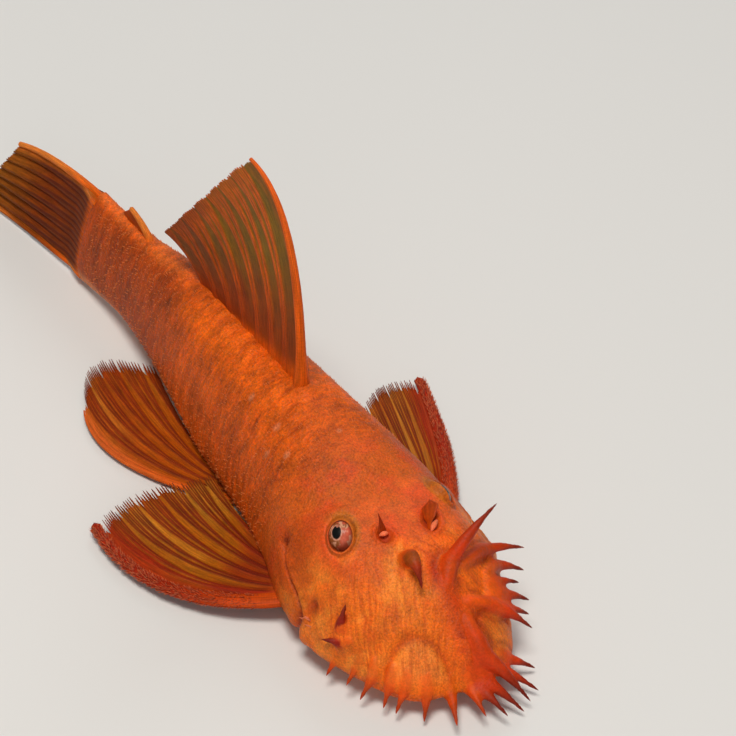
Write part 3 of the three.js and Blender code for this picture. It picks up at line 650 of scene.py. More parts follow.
def makeFinMaterial():
    # laid: across the fan, along the ray; marks: x ray, y bare skin between rays, z along
    plan = finFinish
    fibres, joints, relief = (plan[name] for name in ("fibres", "joints", "relief"))
    material, tree, shader = startMaterial("pleco_fin", plan["sockets"])
    laid = attributeNode(tree, "laid")
    marks = marksOf(tree)
    fibre = noiseNode(tree, stretchedNode(tree, laid, fibres["stretch"]), *fibres["noise"])
    waves = {
        "Vector": stretchedNode(tree, laid, joints["stretch"]), "Scale": joints["scale"],
        "Distortion": joints["distortion"],
    }
    joint = wire(tree, "ShaderNodeTexWave", waves, bands_direction="Y").outputs["Fac"]
    banded = timesNode(tree, rangeNode(tree, joint, 0.0, 0.35, 1.0, 0.0), marks[0])
    shade = rangeNode(tree, fibre, 0.3, 0.7, *fibres["shade"])
    shade = mathNode(tree, "SUBTRACT", shade, timesNode(tree, banded, joints["dark"]))
    shaded = scaledNode(tree, attributeNode(tree, "tone", "Color"), shade)
    mottled = mottledNode(tree, laid, shaded, plan, plan["grain"], plan["pores"])
    alpha = mathNode(tree, "MULTIPLY_ADD", marks[1], -plan["clear"], 1.0)
    height = timesNode(tree, banded, relief["joints"])
    height = mathNode(tree, "MULTIPLY_ADD", fibre, relief["fibres"], height)
    plug(tree, shader, {
        "Base Color": mottled["Tone"], "Alpha": alpha, "Normal": bumpNode(tree, relief, height),
    })
    return material


# odontodes: hard, glassy little hooks; eyes: a ball under a clear coat
hardFinish = {
    "pleco_thorn": {
        "sockets": {
            "Roughness": 0.4, "Specular IOR Level": 0.3, "Subsurface Weight": 0.15,
            "Subsurface Scale": 0.0004,
        },
        "noise": (900.0, 2.0),
        "shade": (0.82, 1.18),
    },
    "pleco_eye": {
        "sockets": {
            "Roughness": 0.4, "Specular IOR Level": 0.2, "Coat Weight": 0.18, "Coat Roughness": 0.06,
            "Coat IOR": 1.35,
        },
        "noise": (2600.0, 3.0),
        "shade": (0.85, 1.12),
    },
}


def makeHardMaterial(name):
    plan = hardFinish[name]
    material, tree, shader = startMaterial(name, plan["sockets"])
    where = wire(tree, "ShaderNodeTexCoord", {}).outputs["Object"]
    shade = rangeNode(tree, noiseNode(tree, where, *plan["noise"]), 0.3, 0.7, *plan["shade"])
    plug(tree, shader, {"Base Color": scaledNode(tree, attributeNode(tree, "tone", "Color"), shade)})
    return material


skinMaterial = makeSkinMaterial()
finMaterial = makeFinMaterial()
thornMaterial = makeHardMaterial("pleco_thorn")
eyeMaterial = makeHardMaterial("pleco_eye")
print("materials made")


def finish(piece, material, replaced=()):
    faceOutwards(piece)
    piece.data.materials.clear()
    piece.data.materials.append(material)
    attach(piece, "root")
    if replaced:
        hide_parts(*replaced)


sideNames = {-1: "right", 1: "left"}

# Skin: the whole body with its tentacles, lids and nostrils, in one surface
skin = {
    "voxel": 0.305,
    "around": 200,
    "along": 300,
    "smoothing": 7,
    "refined": {"eye": (4.0, 3.0), "nostril": 2.7},
    "plate": {
        "first": 31.4, "pitch": 2.72, "count": 22, "lift": 0.15, "rows": 5, "lowest": -35.0,
        "bow": (-0.42, 0.28), "rearEdge": 0.84,
    },
    "nostril": {
        "s": 16.9, "y": 3.35, "deep": 0.55, "rim": 0.2,
        "right": {"along": (1.0, -0.25), "across": (0.15, 1.0), "shift": 0.1, "size": (1.45, 1.1)},
        "left": {"along": (0.87, 0.5), "across": (-0.5, 0.87), "shift": 0.35, "size": (1.95, 1.3)},
    },
    "lids": {
        "right": {"look": (-0.445, -0.54, 0.713), "innerDrape": 1.2, "back": 0.5},
        "left": {"look": (-0.10, 0.80, 0.59), "innerDrape": 2.4, "back": 0.0},
        "long": 1.9, "across": 1.46, "turn": 0.62, "drape": 0.16, "edge": 0.24, "soft": 0.22,
    },
    "tentacle": {"heelShare": 0.4, "rise": 0.55, "bow": 0.55, "leastRadius": 0.36},
    "pad": {"s": 1, "y": 6.5, "long": 4.5, "across": 4.2},
    "pit": {"s": 16.2, "z": 8.4},
    "dorsalFoot": {"s": 41.9, "high": 0.8},
    "scars": [
        (34.5, -6.5, 0.55), (39.0, -5.4, 0.6), (45.8, -5.2, 0.5), (33.2, 0.2, 0.45), (37.4, -7.6, 0.4),
    ],
}
# The darkest of these colours are painted shade in the folds, pits and rims, and the tail's top colour is a
# painted highlight.
skinPaint = paints({
    "headTop": (203, 92, 43), "headRed": (194, 76, 40), "snout": (222, 106, 34), "snoutGold": (233, 138, 56),
    "snoutPad": (228, 124, 54), "cheek": (208, 106, 38), "margin": (190, 80, 29), "nape": (182, 85, 36),
    "trunk": (188, 84, 29), "side": (188, 83, 32), "dorsalBase": (206, 94, 26), "tail": (156, 68, 29),
    "tailTopHighlight": (202, 98, 42), "belly": (206, 128, 78), "recessShade": (106, 38, 15), "lid": (140, 72, 26),
    "lidInner": (184, 106, 38), "lidEdgeShade": (84, 38, 16), "pit": (150, 52, 24), "ridge": (188, 62, 25),
    "creaseShade": (176, 70, 25), "cheekPitShade": (112, 42, 19), "temple": (164, 70, 27), "seam": (126, 48, 18),
    "scar": (196, 122, 86), "window": (204, 116, 46), "tentacle": (182, 60, 25),
    "tentacleRoot": (200, 74, 28), "tentacleTip": (104, 38, 17), "tentacleOlive": (132, 66, 28),
    "tentacleRed": (120, 32, 18),
})

# Tentacles: heel s, y, then root s, y, z, then tip s, y, z, then the radius at the root
# and how far it arches up. From the heel to the root it lies half sunk in the skin as a
# ridge. A root z of nought lies on the back.
tentacles = [
    (13.2, -1.6, 12.3, -1.7, 0, 8.0, -2.4, 13.9, 1.3, 0.55),
    (7.8, 1.0, 10.4, 3.0, 0, 12.3, 10.7, 18.8, 1.12, 0.15),
    (9.8, 3.6, 12.5, 10.2, 0, 12.0, 15.7, 9.1, 0.85, 0.12),
    (9.2, 7.7, 11.2, 11.0, 0, 10.7, 15.2, 6.5, 0.85, 0.12),
    (7.9, 6.8, 8.7, 9.5, 0, 8.6, 12.9, 7.2, 0.75, 0.12),
    (6.9, 6.5, 7.4, 9.6, 0, 6.9, 13.5, 5.3, 0.9, 0.12),
    (5.9, 6.2, 5.8, 8.9, 0, 5.3, 12.4, 4.7, 0.85, 0.12),
    (6.4, 2.6, 5.3, 7.4, 0, 3.0, 11.3, 4.8, 1.0, 0.12),
    (1.6, 4.6, 1.3, 6.3, 3.3, 0.0, 10.1, 0.9, 0.9, 0.12),
    (0.8, 3.4, 0.4, 4.8, 3.0, -3.5, 8.3, 1.1, 0.95, 0.12),
    (5.3, 1.9, 0.8, 2.6, 0, -4.8, 6.3, 1.4, 1.25, 0.12),
    (3.4, 1.3, -0.2, 1.4, 3.9, -5.6, 4.9, 1.0, 1.15, 0.12),
    (1.6, 0.2, -0.3, 0.5, 3.4, -6.0, 2.2, 2.0, 1.05, 0.12),
    (1.0, -0.3, -0.3, -0.2, 3.2, -5.1, -0.4, 2.4, 0.95, 0.12),
    (1.6, -2.4, 0.1, -2.5, 3.0, -4.5, -4.2, 2.1, 0.95, 0.12),
    (2.6, -4.6, 0.8, -5.4, 3.6, -1.1, -6.8, 0.9, 0.9, 0.12),
    (3.8, -6.4, 2.4, -7.4, 4.0, 1.1, -9.5, 1.6, 0.85, 0.12),
    (5.2, -7.8, 3.8, -8.7, 4.2, 2.6, -10.3, 1.7, 0.8, 0.12),
    (7.0, -9.2, 5.7, -9.9, 4.2, 5.2, -11.9, 1.6, 0.8, 0.12),
    (11.0, -11.0, 11.8, -11.3, 7.8, 11.6, -10.9, 12.1, 0.7, 0.12),
    (9.6, -10.6, 10.4, -11.3, 6.3, 12.0, -13.5, 7.0, 0.65, 0.12),
    (10.4, -11.0, 10.6, -12.0, 3.9, 10.2, -13.4, 2.2, 0.6, 0.12),
    (8.2, -10.0, 7.9, -10.8, 4.6, 7.3, -12.5, 2.6, 0.65, 0.12),
    (13.6, 11.4, 13.4, 12.4, 5.0, 13.2, 15.0, 5.4, 0.6, 0.12),
]


def tentaclePath(plan, t):
    heelS, heelY, rootS, rootY, rootZ, tipS, tipY, tipZ, radius, arch = plan
    onSkin = rootZ == 0
    rise = skin["tentacle"]["rise"]
    root = np.array([rootS, rootY, topAt(rootS, rootY) + rise * radius if onSkin else rootZ])
    heel = np.array([heelS, heelY, mix(rootZ + 0.4, topAt(heelS, heelY) - 0.3 * radius, 0.75)])
    tip = np.array([tipS, tipY, tipZ])
    middle = root + (tip - root) * 0.42 + np.array([0, 0, 1]) * np.linalg.norm(tip - root) * arch
    share = skin["tentacle"]["heelShare"]
    q = np.clip(t / share, 0, 1)
    sunk = heel + (root - heel) * q[..., None]
    if onSkin:
        sunk[..., 2] = [topAt(s, y) for s, y in sunk[..., :2]] + radius * (rise * q)
    else:
        sunk[..., 2] += skin["tentacle"]["bow"] * np.sin(pi * q)
    free = bezier(root, middle, tip, np.clip((t - share) / (1 - share), 0, 1))
    return np.where((t < share)[..., None], sunk, free)


def tentacleRadius(plan, t):
    # a ridge as far as its root, then drawn out to a fine point
    share = skin["tentacle"]["heelShare"]
    radius = plan[8]
    free = np.clip((t - share) / (1 - share), 0, 1)
    return radius * mix(0.7, 1.0, ease(0, share, t)) * (1 - free) ** 0.8 + 0.03


def folded(turnDeg):
    # height round the body in degrees, alike on both sides: 90 is the back
    return np.where(turnDeg > 90, 180 - turnDeg, turnDeg)


def padArch(s, side):
    # 1 along the crease round the bare pad on each side of the snout
    pad = skin["pad"]
    return np.hypot((s - pad["s"]) / pad["long"], (side - pad["y"]) / pad["across"])


def gillFold(s, side, z):
    # how far behind the edge of the gill cover a point lies, and where that edge shows
    return s - mix(17.5, 26, ease(6.2, 10.2, z)), ease(8, 10.5, side) * ease(12.5, 9.5, z)


def headRelief(s, y, z):
    side = np.abs(y)
    # orbit shelf, the slight hollow between the eyes and the swelling of the cheek
    r = 0.75 * bump(s - 20.5, 2.9) * bump(side - 7.1, 2.2) * ease(8, 12, z)
    r = r - 0.35 * bump(s - 21, 4) * bump(side, 2.6)
    r = r + 0.7 * bump(s - 17, 4) * bump(z - 5, 3) * ease(7, 10, side)
    fold, behind = gillFold(s, side, z)
    r = r - 0.85 * bump(fold, 0.8) * behind + 0.3 * bump(fold + 1.6, 0.9) * behind
    # the ridge up the snout, and a bare pad each side of it behind an arched crease
    r = r + 0.55 * bump(y - 1.2, 1.7) * ease(11, 7, s)
    arch = padArch(s, side)
    r = r - 0.34 * bump(arch - 1, 0.12) * ease(4, 6, z)
    r = r + 0.3 * bump(arch, 0.7)
    r = r + 0.25 * bump(side, 1.8) * ease(24, 29, s)
    pit = skin["pit"]
    r = r - 0.45 * bump(s - pit["s"], 0.7) * bump(z - pit["z"], 0.55) * ease(9, 11, side)
    # shallow dents and folds in the soft skin
    r = r + 0.20 * smoothNoise(s * 0.42, z * 0.5 + y * 0.2, 3) * ease(6, 9, side) * (1 - ease(24, 27, s))
    return r + 0.16 * smoothNoise(s * 0.30, y * 0.35, 5) * (1 - ease(26, 30, s))


def plateRelief(s, turnDeg):
    # overlapping plates, each row's rear edges bowed back; returns lift and seam
    plate = skin["plate"]
    up = folded(turnDeg)
    q = (up - plate["lowest"]) / ((90 - plate["lowest"]) / plate["rows"])
    f = q - np.floor(q)
    middle = 0.5 - 0.5 * np.cos(2 * pi * f)
    p = (s - mix(*plate["bow"], middle) - plate["first"]) / plate["pitch"]
    g = p - np.floor(p)
    there = ease(-0.3, 0.3, p) * (1 - ease(plate["count"] - 1.2, plate["count"] - 0.2, p))
    there = there * ease(plate["lowest"] - 12, plate["lowest"] + 2, up)
    rise = mix(0.15, 1.0, g ** 0.8) * (1 - ease(plate["rearEdge"], 0.99, g))
    groove = bump(np.minimum(f, 1 - f), 0.07)
    lift = plate["lift"] * rise * (1 - 0.55 * groove) * there
    seam = np.maximum(bump(np.minimum(g, 1 - g), 0.09), 0.45 * groove) * there
    return lift, seam


def eyeFrame(side):
    # centre, line of sight, and the long and short ways of the opening between the lids
    lids = skin["lids"]
    lid = lids[sideNames[side]]
    centre = eyeCentre(side) + np.array([lid["back"], 0.0, 0.0])
    look = unit(lid["look"])
    along = unit(np.array([1.0, 0.0, 0.0]) - look * look[0])
    across = np.cross(look, along)
    turn = lids["turn"]
    tall = along * math.cos(turn) - across * side * math.sin(turn)
    wide = along * side * math.sin(turn) + across * math.cos(turn)
    return centre, look, tall, wide


def lidPush(points):
    # drapes skin over each eye and opens it between rolled lids; returns how near the
    # lid's edge each point is and how far it lies on the inner side
    lids = skin["lids"]
    near = np.full(len(points), 9.0)
    inner = np.zeros(len(points))
    for side in sideNames:
        centre, look, tall, wide = eyeFrame(side)
        d = points - centre
        h = d @ look
        a = d @ tall
        b = d @ wide
        rho = np.hypot(a / lids["long"], b / lids["across"])
        pick = (rho < 2.6) & (h > -1.4)
        m = ease(-0.3, 1.5, a * math.sin(lids["turn"]) - side * b * math.cos(lids["turn"]))
        flat = np.hypot(a, b)
        ball = np.sqrt(np.maximum(eye["radius"] ** 2 - flat ** 2, 0.0))
        cover = ball + lids["drape"] * (1 + lids[sideNames[side]]["innerDrape"] * m)
        # the greater of the two heights, rounded where they meet
        draped = 0.5 * (cover + h + np.sqrt((cover - h) ** 2 + lids["soft"] ** 2))
        draped = mix(draped, h, ease(1.5, 2.4, rho))
        rim = lids["edge"] * bump(rho - 1.14, 0.1) - 0.14 * bump(rho - 1.42, 0.13) * (1 - 0.6 * m)
        target = mix(ball - 0.7, draped + rim, ease(0.93, 1.04, rho))
        moved = points + look * (target - h)[:, None]
        points = np.where(pick[:, None], moved, points)
        near = np.where(pick, np.minimum(near, rho), near)
        inner = np.where(pick, np.maximum(inner, m), inner)
    return points, near, inner


def nostrilPlace(side):
    plan = skin["nostril"]
    y = plan["y"] * side + askew["nostrilY"]
    return np.array([plan["s"], y, topAt(plan["s"], y)])


def nostrilPush(points):
    # a shallow pit with a soft rim before each eye, the left one longer and askew; returns depth marks
    nostril = skin["nostril"]
    deep = np.zeros(len(points))
    rimmed = np.zeros(len(points))
    for side in sideNames:
        plan = nostril[sideNames[side]]
        d = points - nostrilPlace(side)
        a = plan["along"][0] * d[:, 0] + plan["along"][1] * d[:, 1] + plan["shift"]
        b = plan["across"][0] * d[:, 0] + plan["across"][1] * d[:, 1]
        rho = np.hypot(a / plan["size"][0], b / plan["size"][1])
        pick = (rho < 2.6) & (np.abs(d[:, 2]) < 3)
        fall = np.where(pick, 1 - ease(0.4, 1.1, rho), 0)
        rim = np.where(pick, bump(rho - 1.2, 0.24), 0)
        points = points + np.array([0, 0, 1.0]) * (nostril["rim"] * rim - nostril["deep"] * fall)[:, None]
        deep = np.maximum(deep, fall)
        rimmed = np.maximum(rimmed, rim)
    return points, deep, rimmed


def bodyShell():
    bpy.ops.mesh.primitive_grid_add(x_subdivisions=skin["around"], y_subdivisions=skin["along"], size=1)
    shell = bpy.context.object
    co = readPoints(shell)
    angle = (co[:, 0] + 0.5) * 2 * pi - pi / 2
    v = co[:, 1] + 0.5
    s = mix(*fish["ends"], mix(v, v ** 1.6, 0.45))
    ends = (v < 1e-6) | (v > 1 - 1e-6)
    centre = np.stack([s, 0 * s, midHeight(s)], -1)
    writePoints(shell, np.where(ends[:, None], centre, bodyPoint(s, angle)) * mm)
    weld(shell, 0.000002)
    faceOutwards(shell)
    return shell


def tentacleHorns():
    t = np.linspace(0, 1, 26)
    parts = []
    for plan in tentacles:
        path = tentaclePath(plan, t)
        radii = np.maximum(tentacleRadius(plan, t), skin["tentacle"]["leastRadius"])
        radii[0] = radii[1] * 0.6
        parts.append(tube(path, radii, 14))
    points, faces = gather(parts)
    return pieceFrom("tentacle_horns", points * mm, faces)


def refineNear(piece, centre, reach):
    bm = bmesh.new()
    bm.from_mesh(piece.data)
    middle = Vector(centre * mm)
    limit = reach * mm
    faces = [f for f in bm.faces if (f.calc_center_median() - middle).length < limit]
    edges = list({e for f in faces for e in f.edges})
    bmesh.ops.subdivide_edges(bm, edges=edges, cuts=1, use_grid_fill=True, smooth=0.0)
    bm.to_mesh(piece.data)
    bm.free()


def smoothWhere(points, edges, amount, times):
    # evens the surface where amount is above nought, by its neighbours' mean
    count = np.bincount(edges.ravel(), minlength=len(points)).astype(float)[:, None]
    for again in range(times):
        total = np.zeros_like(points)
        for axis in range(3):
            total[:, axis] = np.bincount(edges[:, 0], points[edges[:, 1], axis], len(points))
            total[:, axis] += np.bincount(edges[:, 1], points[edges[:, 0], axis], len(points))
        mean = total / np.maximum(count, 1)
        points = points + (mean - points) * amount[:, None]
    return points


def nearestOnBody(points):
    # where each point sits on the smooth body: spot, angle and outward normal
    rows = 330
    columns = 260
    s = mix(*fish["ends"], np.linspace(0, 1, rows) ** 1.3)
    angle = np.linspace(-pi / 2, 1.5 * pi, columns)
    grid = bodyPoint(s[:, None] + 0 * angle[None], angle[None] + 0 * s[:, None])
    tree = BVHTree.FromPolygons(grid.reshape(-1, 3).tolist(), gridFaces(rows, columns).tolist())
    found = [tree.find_nearest(p) for p in points.tolist()]
    spot = np.array([f[0] for f in found])
    index = np.array([f[2] for f in found])
    row = index // (columns - 1)
    column = index % (columns - 1)
    low = grid[row, column]
    step = grid[row, column + 1] - low
    share = np.clip(((spot - low) * step).sum(1) / np.maximum((step * step).sum(1), 1e-9), 0, 1)
    turned = angle[column] + share * (angle[1] - angle[0])
    s = spot[:, 0]
    here = np.clip(s, -0.55, 93.3)
    ds = bodyPoint(here + 0.05, turned) - bodyPoint(here - 0.05, turned)
    da = bodyPoint(here, turned + 0.015) - bodyPoint(here, turned - 0.015)
    normal = unit(np.cross(ds, da))
    outward = spot - np.stack([s, 0 * s, midHeight(s)], -1)
    return spot, turned, np.where(((normal * outward).sum(1) < 0)[:, None], -normal, normal)


def nearestTentacle(points):
    # which tentacle a point is on, how far along, and how far from its axis
    t = np.linspace(0, 1, 34)
    axes = np.stack([tentaclePath(plan, t) for plan in tentacles])
    radii = np.stack([tentacleRadius(plan, t) for plan in tentacles])
    best = np.full(len(points), 99.0)
    which = np.zeros(len(points), int)
    where = np.zeros(len(points), int)
    for i, axis in enumerate(axes):
        low = axis.min(0) - 4
        high = axis.max(0) + 4
        pick = np.nonzero(((points > low) & (points < high)).all(1))[0]
        if not len(pick):
            continue
        gap = np.linalg.norm(points[pick][:, None] - axis[None], axis=-1)
        share = gap / np.maximum(radii[i][None], skin["tentacle"]["leastRadius"])
        k = share.argmin(1)
        value = share[np.arange(len(pick)), k]
        better = value < best[pick]
        chosen = pick[better]
        best[chosen] = value[better]
        which[chosen] = i
        where[chosen] = k[better]
    return which, t[where], axes[which, where], radii[which, where], best


def skinTone(s, y, z, turnDeg, seam, lids, nostrils, horns):
    grown, along, which, flank = horns
    lidNear, lidInner = lids
    deep, rimmed = nostrils
    side = np.abs(y)
    up = folded(turnDeg)
    onTop = ease(4, 6, z)
    wobble = smoothNoise(s * 0.22, y * 0.25 + z * 0.1, 11)
    patch = smoothNoise(s * 0.33, y * 0.4 + z * 0.15, 13)
    ahead = 1 - ease(9, 18.5, s + 5 * wobble)
    cheek = ease(6.5, 10.5, side) * (1 - ease(21, 25, s)) * (1 - ease(10, 13.5, z))
    arch = padArch(s, side)
    onPad = (1 - ease(0.7, 1.0, arch)) * onTop
    ridge = bump(y - mix(1.6, 0.9, ease(4, 12, s)), mix(2.4, 1.3, ease(5, 12, s))) * ease(15, 10, s) * onTop
    crest = ease(36, 43, s) * (1 - ease(70, 76, s)) * bump(side - 3.6, 2.2) * ease(40, 60, up)
    fold, behind = gillFold(s, side, z)
    inPit = bump(s - skin["pit"]["s"], 1.0) * bump(z - skin["pit"]["z"], 0.8) * ease(9, 11, side)
    tone = layered(plain(skinPaint["headTop"], s), skinPaint, [
        ("headRed", ease(-0.05, 0.35, patch) * 0.8),
        ("snout", ahead),
        ("snoutGold", ahead * ease(0.0, 0.4, smoothNoise(s * 0.4, y * 0.5, 17)) * 0.75),
        ("cheek", cheek * 0.9),
        ("snoutGold", cheek * ease(0.05, 0.4, smoothNoise(s * 0.5, z * 0.5, 19)) * 0.6),
        ("margin", (1 - ease(2.4, 4.4, z)) * (1 - ease(20, 26, s)) * 0.75),
        ("snoutPad", onPad * np.where(y < 0, 0.9, 0.2)),
        ("window", onPad * (y > 0) * 0.8),
        ("snoutGold", bump(arch - 0.84, 0.1) * 0.5 * onTop * (y < 0)),
        # painted shade along the crease round each pad
        ("creaseShade", bump(arch - 1.0, 0.08) * 0.6 * onTop),
        ("ridge", ridge * 0.85),
        ("snoutGold", bump(s - 9.5, 3.5) * bump(y + 4.2, 2.6) * ease(6, 8, z) * 0.5),
        ("nape", ease(19, 25, s + 6 * wobble)),
        ("headRed", ease(19, 25, s) * (1 - ease(28, 34, s)) * ease(0.0, 0.4, patch) * 0.7),
        ("temple", bump(s - 23.5, 3.2) * ease(7, 10.5, side) * ease(5.5, 8, z) * 0.85),
        ("trunk", ease(29, 35, s)),
        ("side", ease(28, 36, s) * (1 - ease(14, 62, up + 18 * wobble)) * 0.9),
        ("dorsalBase", crest * 0.9),
        # the tail is less dark on top and its top ridge is lighter: a painted highlight along the ridge
        ("tail", ease(62, 74, s + 5 * wobble) * (1 - 0.35 * ease(50, 85, up))),
        ("tailTopHighlight", ease(66, 76, s) * ease(60, 82, up) * 0.85),
        ("belly", (1 - ease(-50, -28, up)) * ease(1, 5, s) * 0.8),
        # painted shade in the groove of the gill fold
        ("recessShade", bump(fold - 0.1, 0.62) * behind * 0.95),
        ("margin", bump(fold - 1.8, 1.6) * behind * 0.5),
        # painted shade in the cheek pit and around it
        ("cheekPitShade", inPit * 0.85),
        ("recessShade", bump(s - 18.0, 2.0) * bump(z - 7.4, 1.5) * ease(9, 11, side) * 0.35),
        ("seam", seam * 0.16),
        ("seam", seam * 0.30 * ease(0.0, 0.35, smoothNoise(s * 0.9, turnDeg * 0.06, 21))),
    ])
    # dapples on the flank, then the small scars behind the head
    around = turnDeg * 0.09 * (halfWidth(s) / 9)
    dapple = smoothNoise(s * 1.3 + around * 0.4, around, 35) + 0.7 * smoothNoise(s * 2.6, around * 2.3, 36)
    tone = tone * (1 + 0.42 * dapple * ease(28, 36, s))[:, None]
    for scarS, scarY, size in skin["scars"]:
        away = np.hypot(s - scarS, y - scarY) / size
        tone = layered(tone, skinPaint, [
            ("scar", (z > 9) * (1 - ease(0.6, 1.0, away)) * 0.6),
            ("side", (z > 9) * bump(away - 1.25, 0.25) * 0.5),
        ])
    tone = layered(tone, skinPaint, [
        # painted shade in the nostril pits, and a redder rim round them
        ("pit", deep * 0.85),
        ("ridge", rimmed * 0.45),
        ("lidInner", lidInner * ease(1.0, 1.15, lidNear) * (1 - ease(1.45, 1.9, lidNear)) * 0.85),
        ("lid", bump(lidNear - 1.3, 0.12) * 0.65),
        # painted shade along the lid's edge, where it tucks against the eye
        ("lidEdgeShade", bump(lidNear - 1.0, 0.07) * 0.8),
    ])
    tone = tone * (1 + 0.15 * smoothNoise(s * 1.2, y * 1.2 + z * 0.6, 29) * (1 - ease(28, 36, s)))[:, None]
    # Tentacles below the snout are paler than the rest. The stout one before the right
    # nostril is olive on top, the two on the cheek are dark red.
    upper = (which > 0) & (which < 13)
    lower = ((which > 12) & (which < 19)) | (which > 20)
    onCheek = (which == 19) | (which == 20)
    olive = (which == 0) * ease(0.4, 0.52, along) * (1 - ease(0.62, 0.75, along))
    return layered(tone, skinPaint, [
        # painted shade along the foot of each ridge on the snout
        ("tentacleRed", flank * upper * 0.55),
        ("tentacleRoot", grown * 0.6),
        ("tentacle", grown * upper * ease(0.05, 0.35, along) * 0.6),
        ("tentacle", grown * ease(0.35, 0.55, along) * np.where(lower, 0.45, 1.0)),
        ("tentacleOlive", grown * olive),
        ("tentacleRed", grown * onCheek * ease(0.3, 0.5, along) * 0.9),
        ("tentacleTip", grown * ease(0.55, 0.92, along) * np.where(lower, 0.4, 0.9)),
    ])


def buildSkin():
    body = merged("pleco_skin", bodyShell(), tentacleHorns())
    remesh = body.modifiers.new("one_surface", "REMESH")
    remesh.mode = "VOXEL"
    remesh.voxel_size = skin["voxel"] * mm
    remesh.adaptivity = 0.0
    bpy.ops.object.modifier_apply(modifier=remesh.name)
    print("skin: one surface of", len(body.data.polygons), "faces")
    above = np.array([0, 0, 1.0])
    wider, closer = skin["refined"]["eye"]
    for side in sideNames:
        refineNear(body, eyeCentre(side) + above, wider)
        refineNear(body, nostrilPlace(side), skin["refined"]["nostril"])
    for side in sideNames:
        refineNear(body, eyeCentre(side) + above, closer)
    points = readPoints(body) / mm
    edges = np.zeros(len(body.data.edges) * 2, int)
    body.data.edges.foreach_get("vertices", edges)
    edges = edges.reshape(-1, 2)
    spot, turned, normal = nearestOnBody(points)
    s = spot[:, 0]
    which, t, axis, target, share = nearestTentacle(points)
    onHorn = ease(0.05, 0.6, ((points - spot) * normal).sum(1)) * (1 - ease(1.6, 2.4, share))
    root = (1 - ease(1.5, 3.2, share)) * (1 - ease(0.45, 0.65, t)) * (1 - ease(22, 26, s))
    points = smoothWhere(points, edges, 0.5 * np.clip(root + 0.25 * onHorn, 0, 1), skin["smoothing"])
    points = smoothWhere(points, edges, 0.4 * np.ones(len(points)), 2)
    # bare skin goes back onto the smooth body
    height = ((points - spot) * normal).sum(1)
    points = points - normal * (height * (1 - ease(0.05, 0.3, np.abs(height))))[:, None]
    # thin each tentacle from the remesh's least width down to its true point
    away = points - axis
    slim = np.clip(target / np.maximum(np.linalg.norm(away, axis=1), 1e-6), 0, 1)
    points = axis + away * mix(1, slim, ease(0.5, 0.85, t) * onHorn)[:, None]
    turnDeg = np.degrees(turned)
    lift, seam = plateRelief(s, turnDeg)
    bodyOnly = 1 - onHorn
    foot = skin["dorsalFoot"]
    swelling = foot["high"] * bump(s - foot["s"], 1.9) * bump(spot[:, 1], 1.4) * (turnDeg > 0)
    relief = (headRelief(*spot.T) * (1 - ease(30, 33, s)) + lift + swelling) * bodyOnly
    points = points + normal * relief[:, None]
    points, *lids = lidPush(points)
    points, *nostrils = nostrilPush(points)
    points[:, 2] = np.maximum(points[:, 2], 0.0)
    writePoints(body, placed(points))
    # each ridge is painted darker along its foot: painted shade where it meets the skin
    flank = bump(share - mix(1.7, 1.35, t), 0.5) * ease(0.02, 0.2, t) * (1 - ease(0.55, 0.8, t))
    horns = (onHorn, t, which, flank)
    giveTone(body, skinTone(s, spot[:, 1], points[:, 2], turnDeg, seam * bodyOnly, lids, nostrils, horns))
    giveVector(body, "laid", points)
    # streaks on the snout run back and in towards the midline
    out = np.hypot(points[:, 1], backHeight(s) - points[:, 2]) + 0.55 * s
    out = out + 0.5 * smoothNoise(s * 0.4, out * 0.5, 33)
    giveVector(body, "combed", np.stack([s * 0.34, out * 1.6, 0 * s], -1))
    granular = mix(0.75, 1.0, ease(20, 30, s)) * (1 - 0.6 * nostrils[0]) * (1 - 0.6 * onHorn)
    streaky = (1 - ease(13, 19, s)) * ease(3.5, 6, points[:, 2]) * (1 - 0.7 * onHorn)
    rowed = ease(27, 34, s) * (1 - 0.6 * ease(70, 90, folded(turnDeg)))
    giveVector(body, "marks", np.stack([granular, streaky, rowed], -1))
    bpy.ops.object.shade_smooth()
    finish(body, skinMaterial, ("head", "trunk", "tail"))
    print("skin done:", len(body.data.polygons), "faces")


buildSkin()

# Eyes: a ball under a clear coat, with a lobed pupil and a pale pinkish iris
eyePaint = paints({
    "pupil": (14, 8, 8), "rose": (184, 86, 64), "olive": (120, 74, 40), "pale": (204, 148, 118),
    "ring": (204, 144, 120), "edge": (92, 42, 24), "lobe": (140, 70, 54),
})
pupil = {
    "along": 0.86, "across": 0.62, "lobe": (0.32, 0.2),
    "right": {"look": (-0.145, -0.61, 0.775), "shade": 1.0},
    "left": {"look": (-0.05, 0.72, 0.69), "shade": 0.45},
}


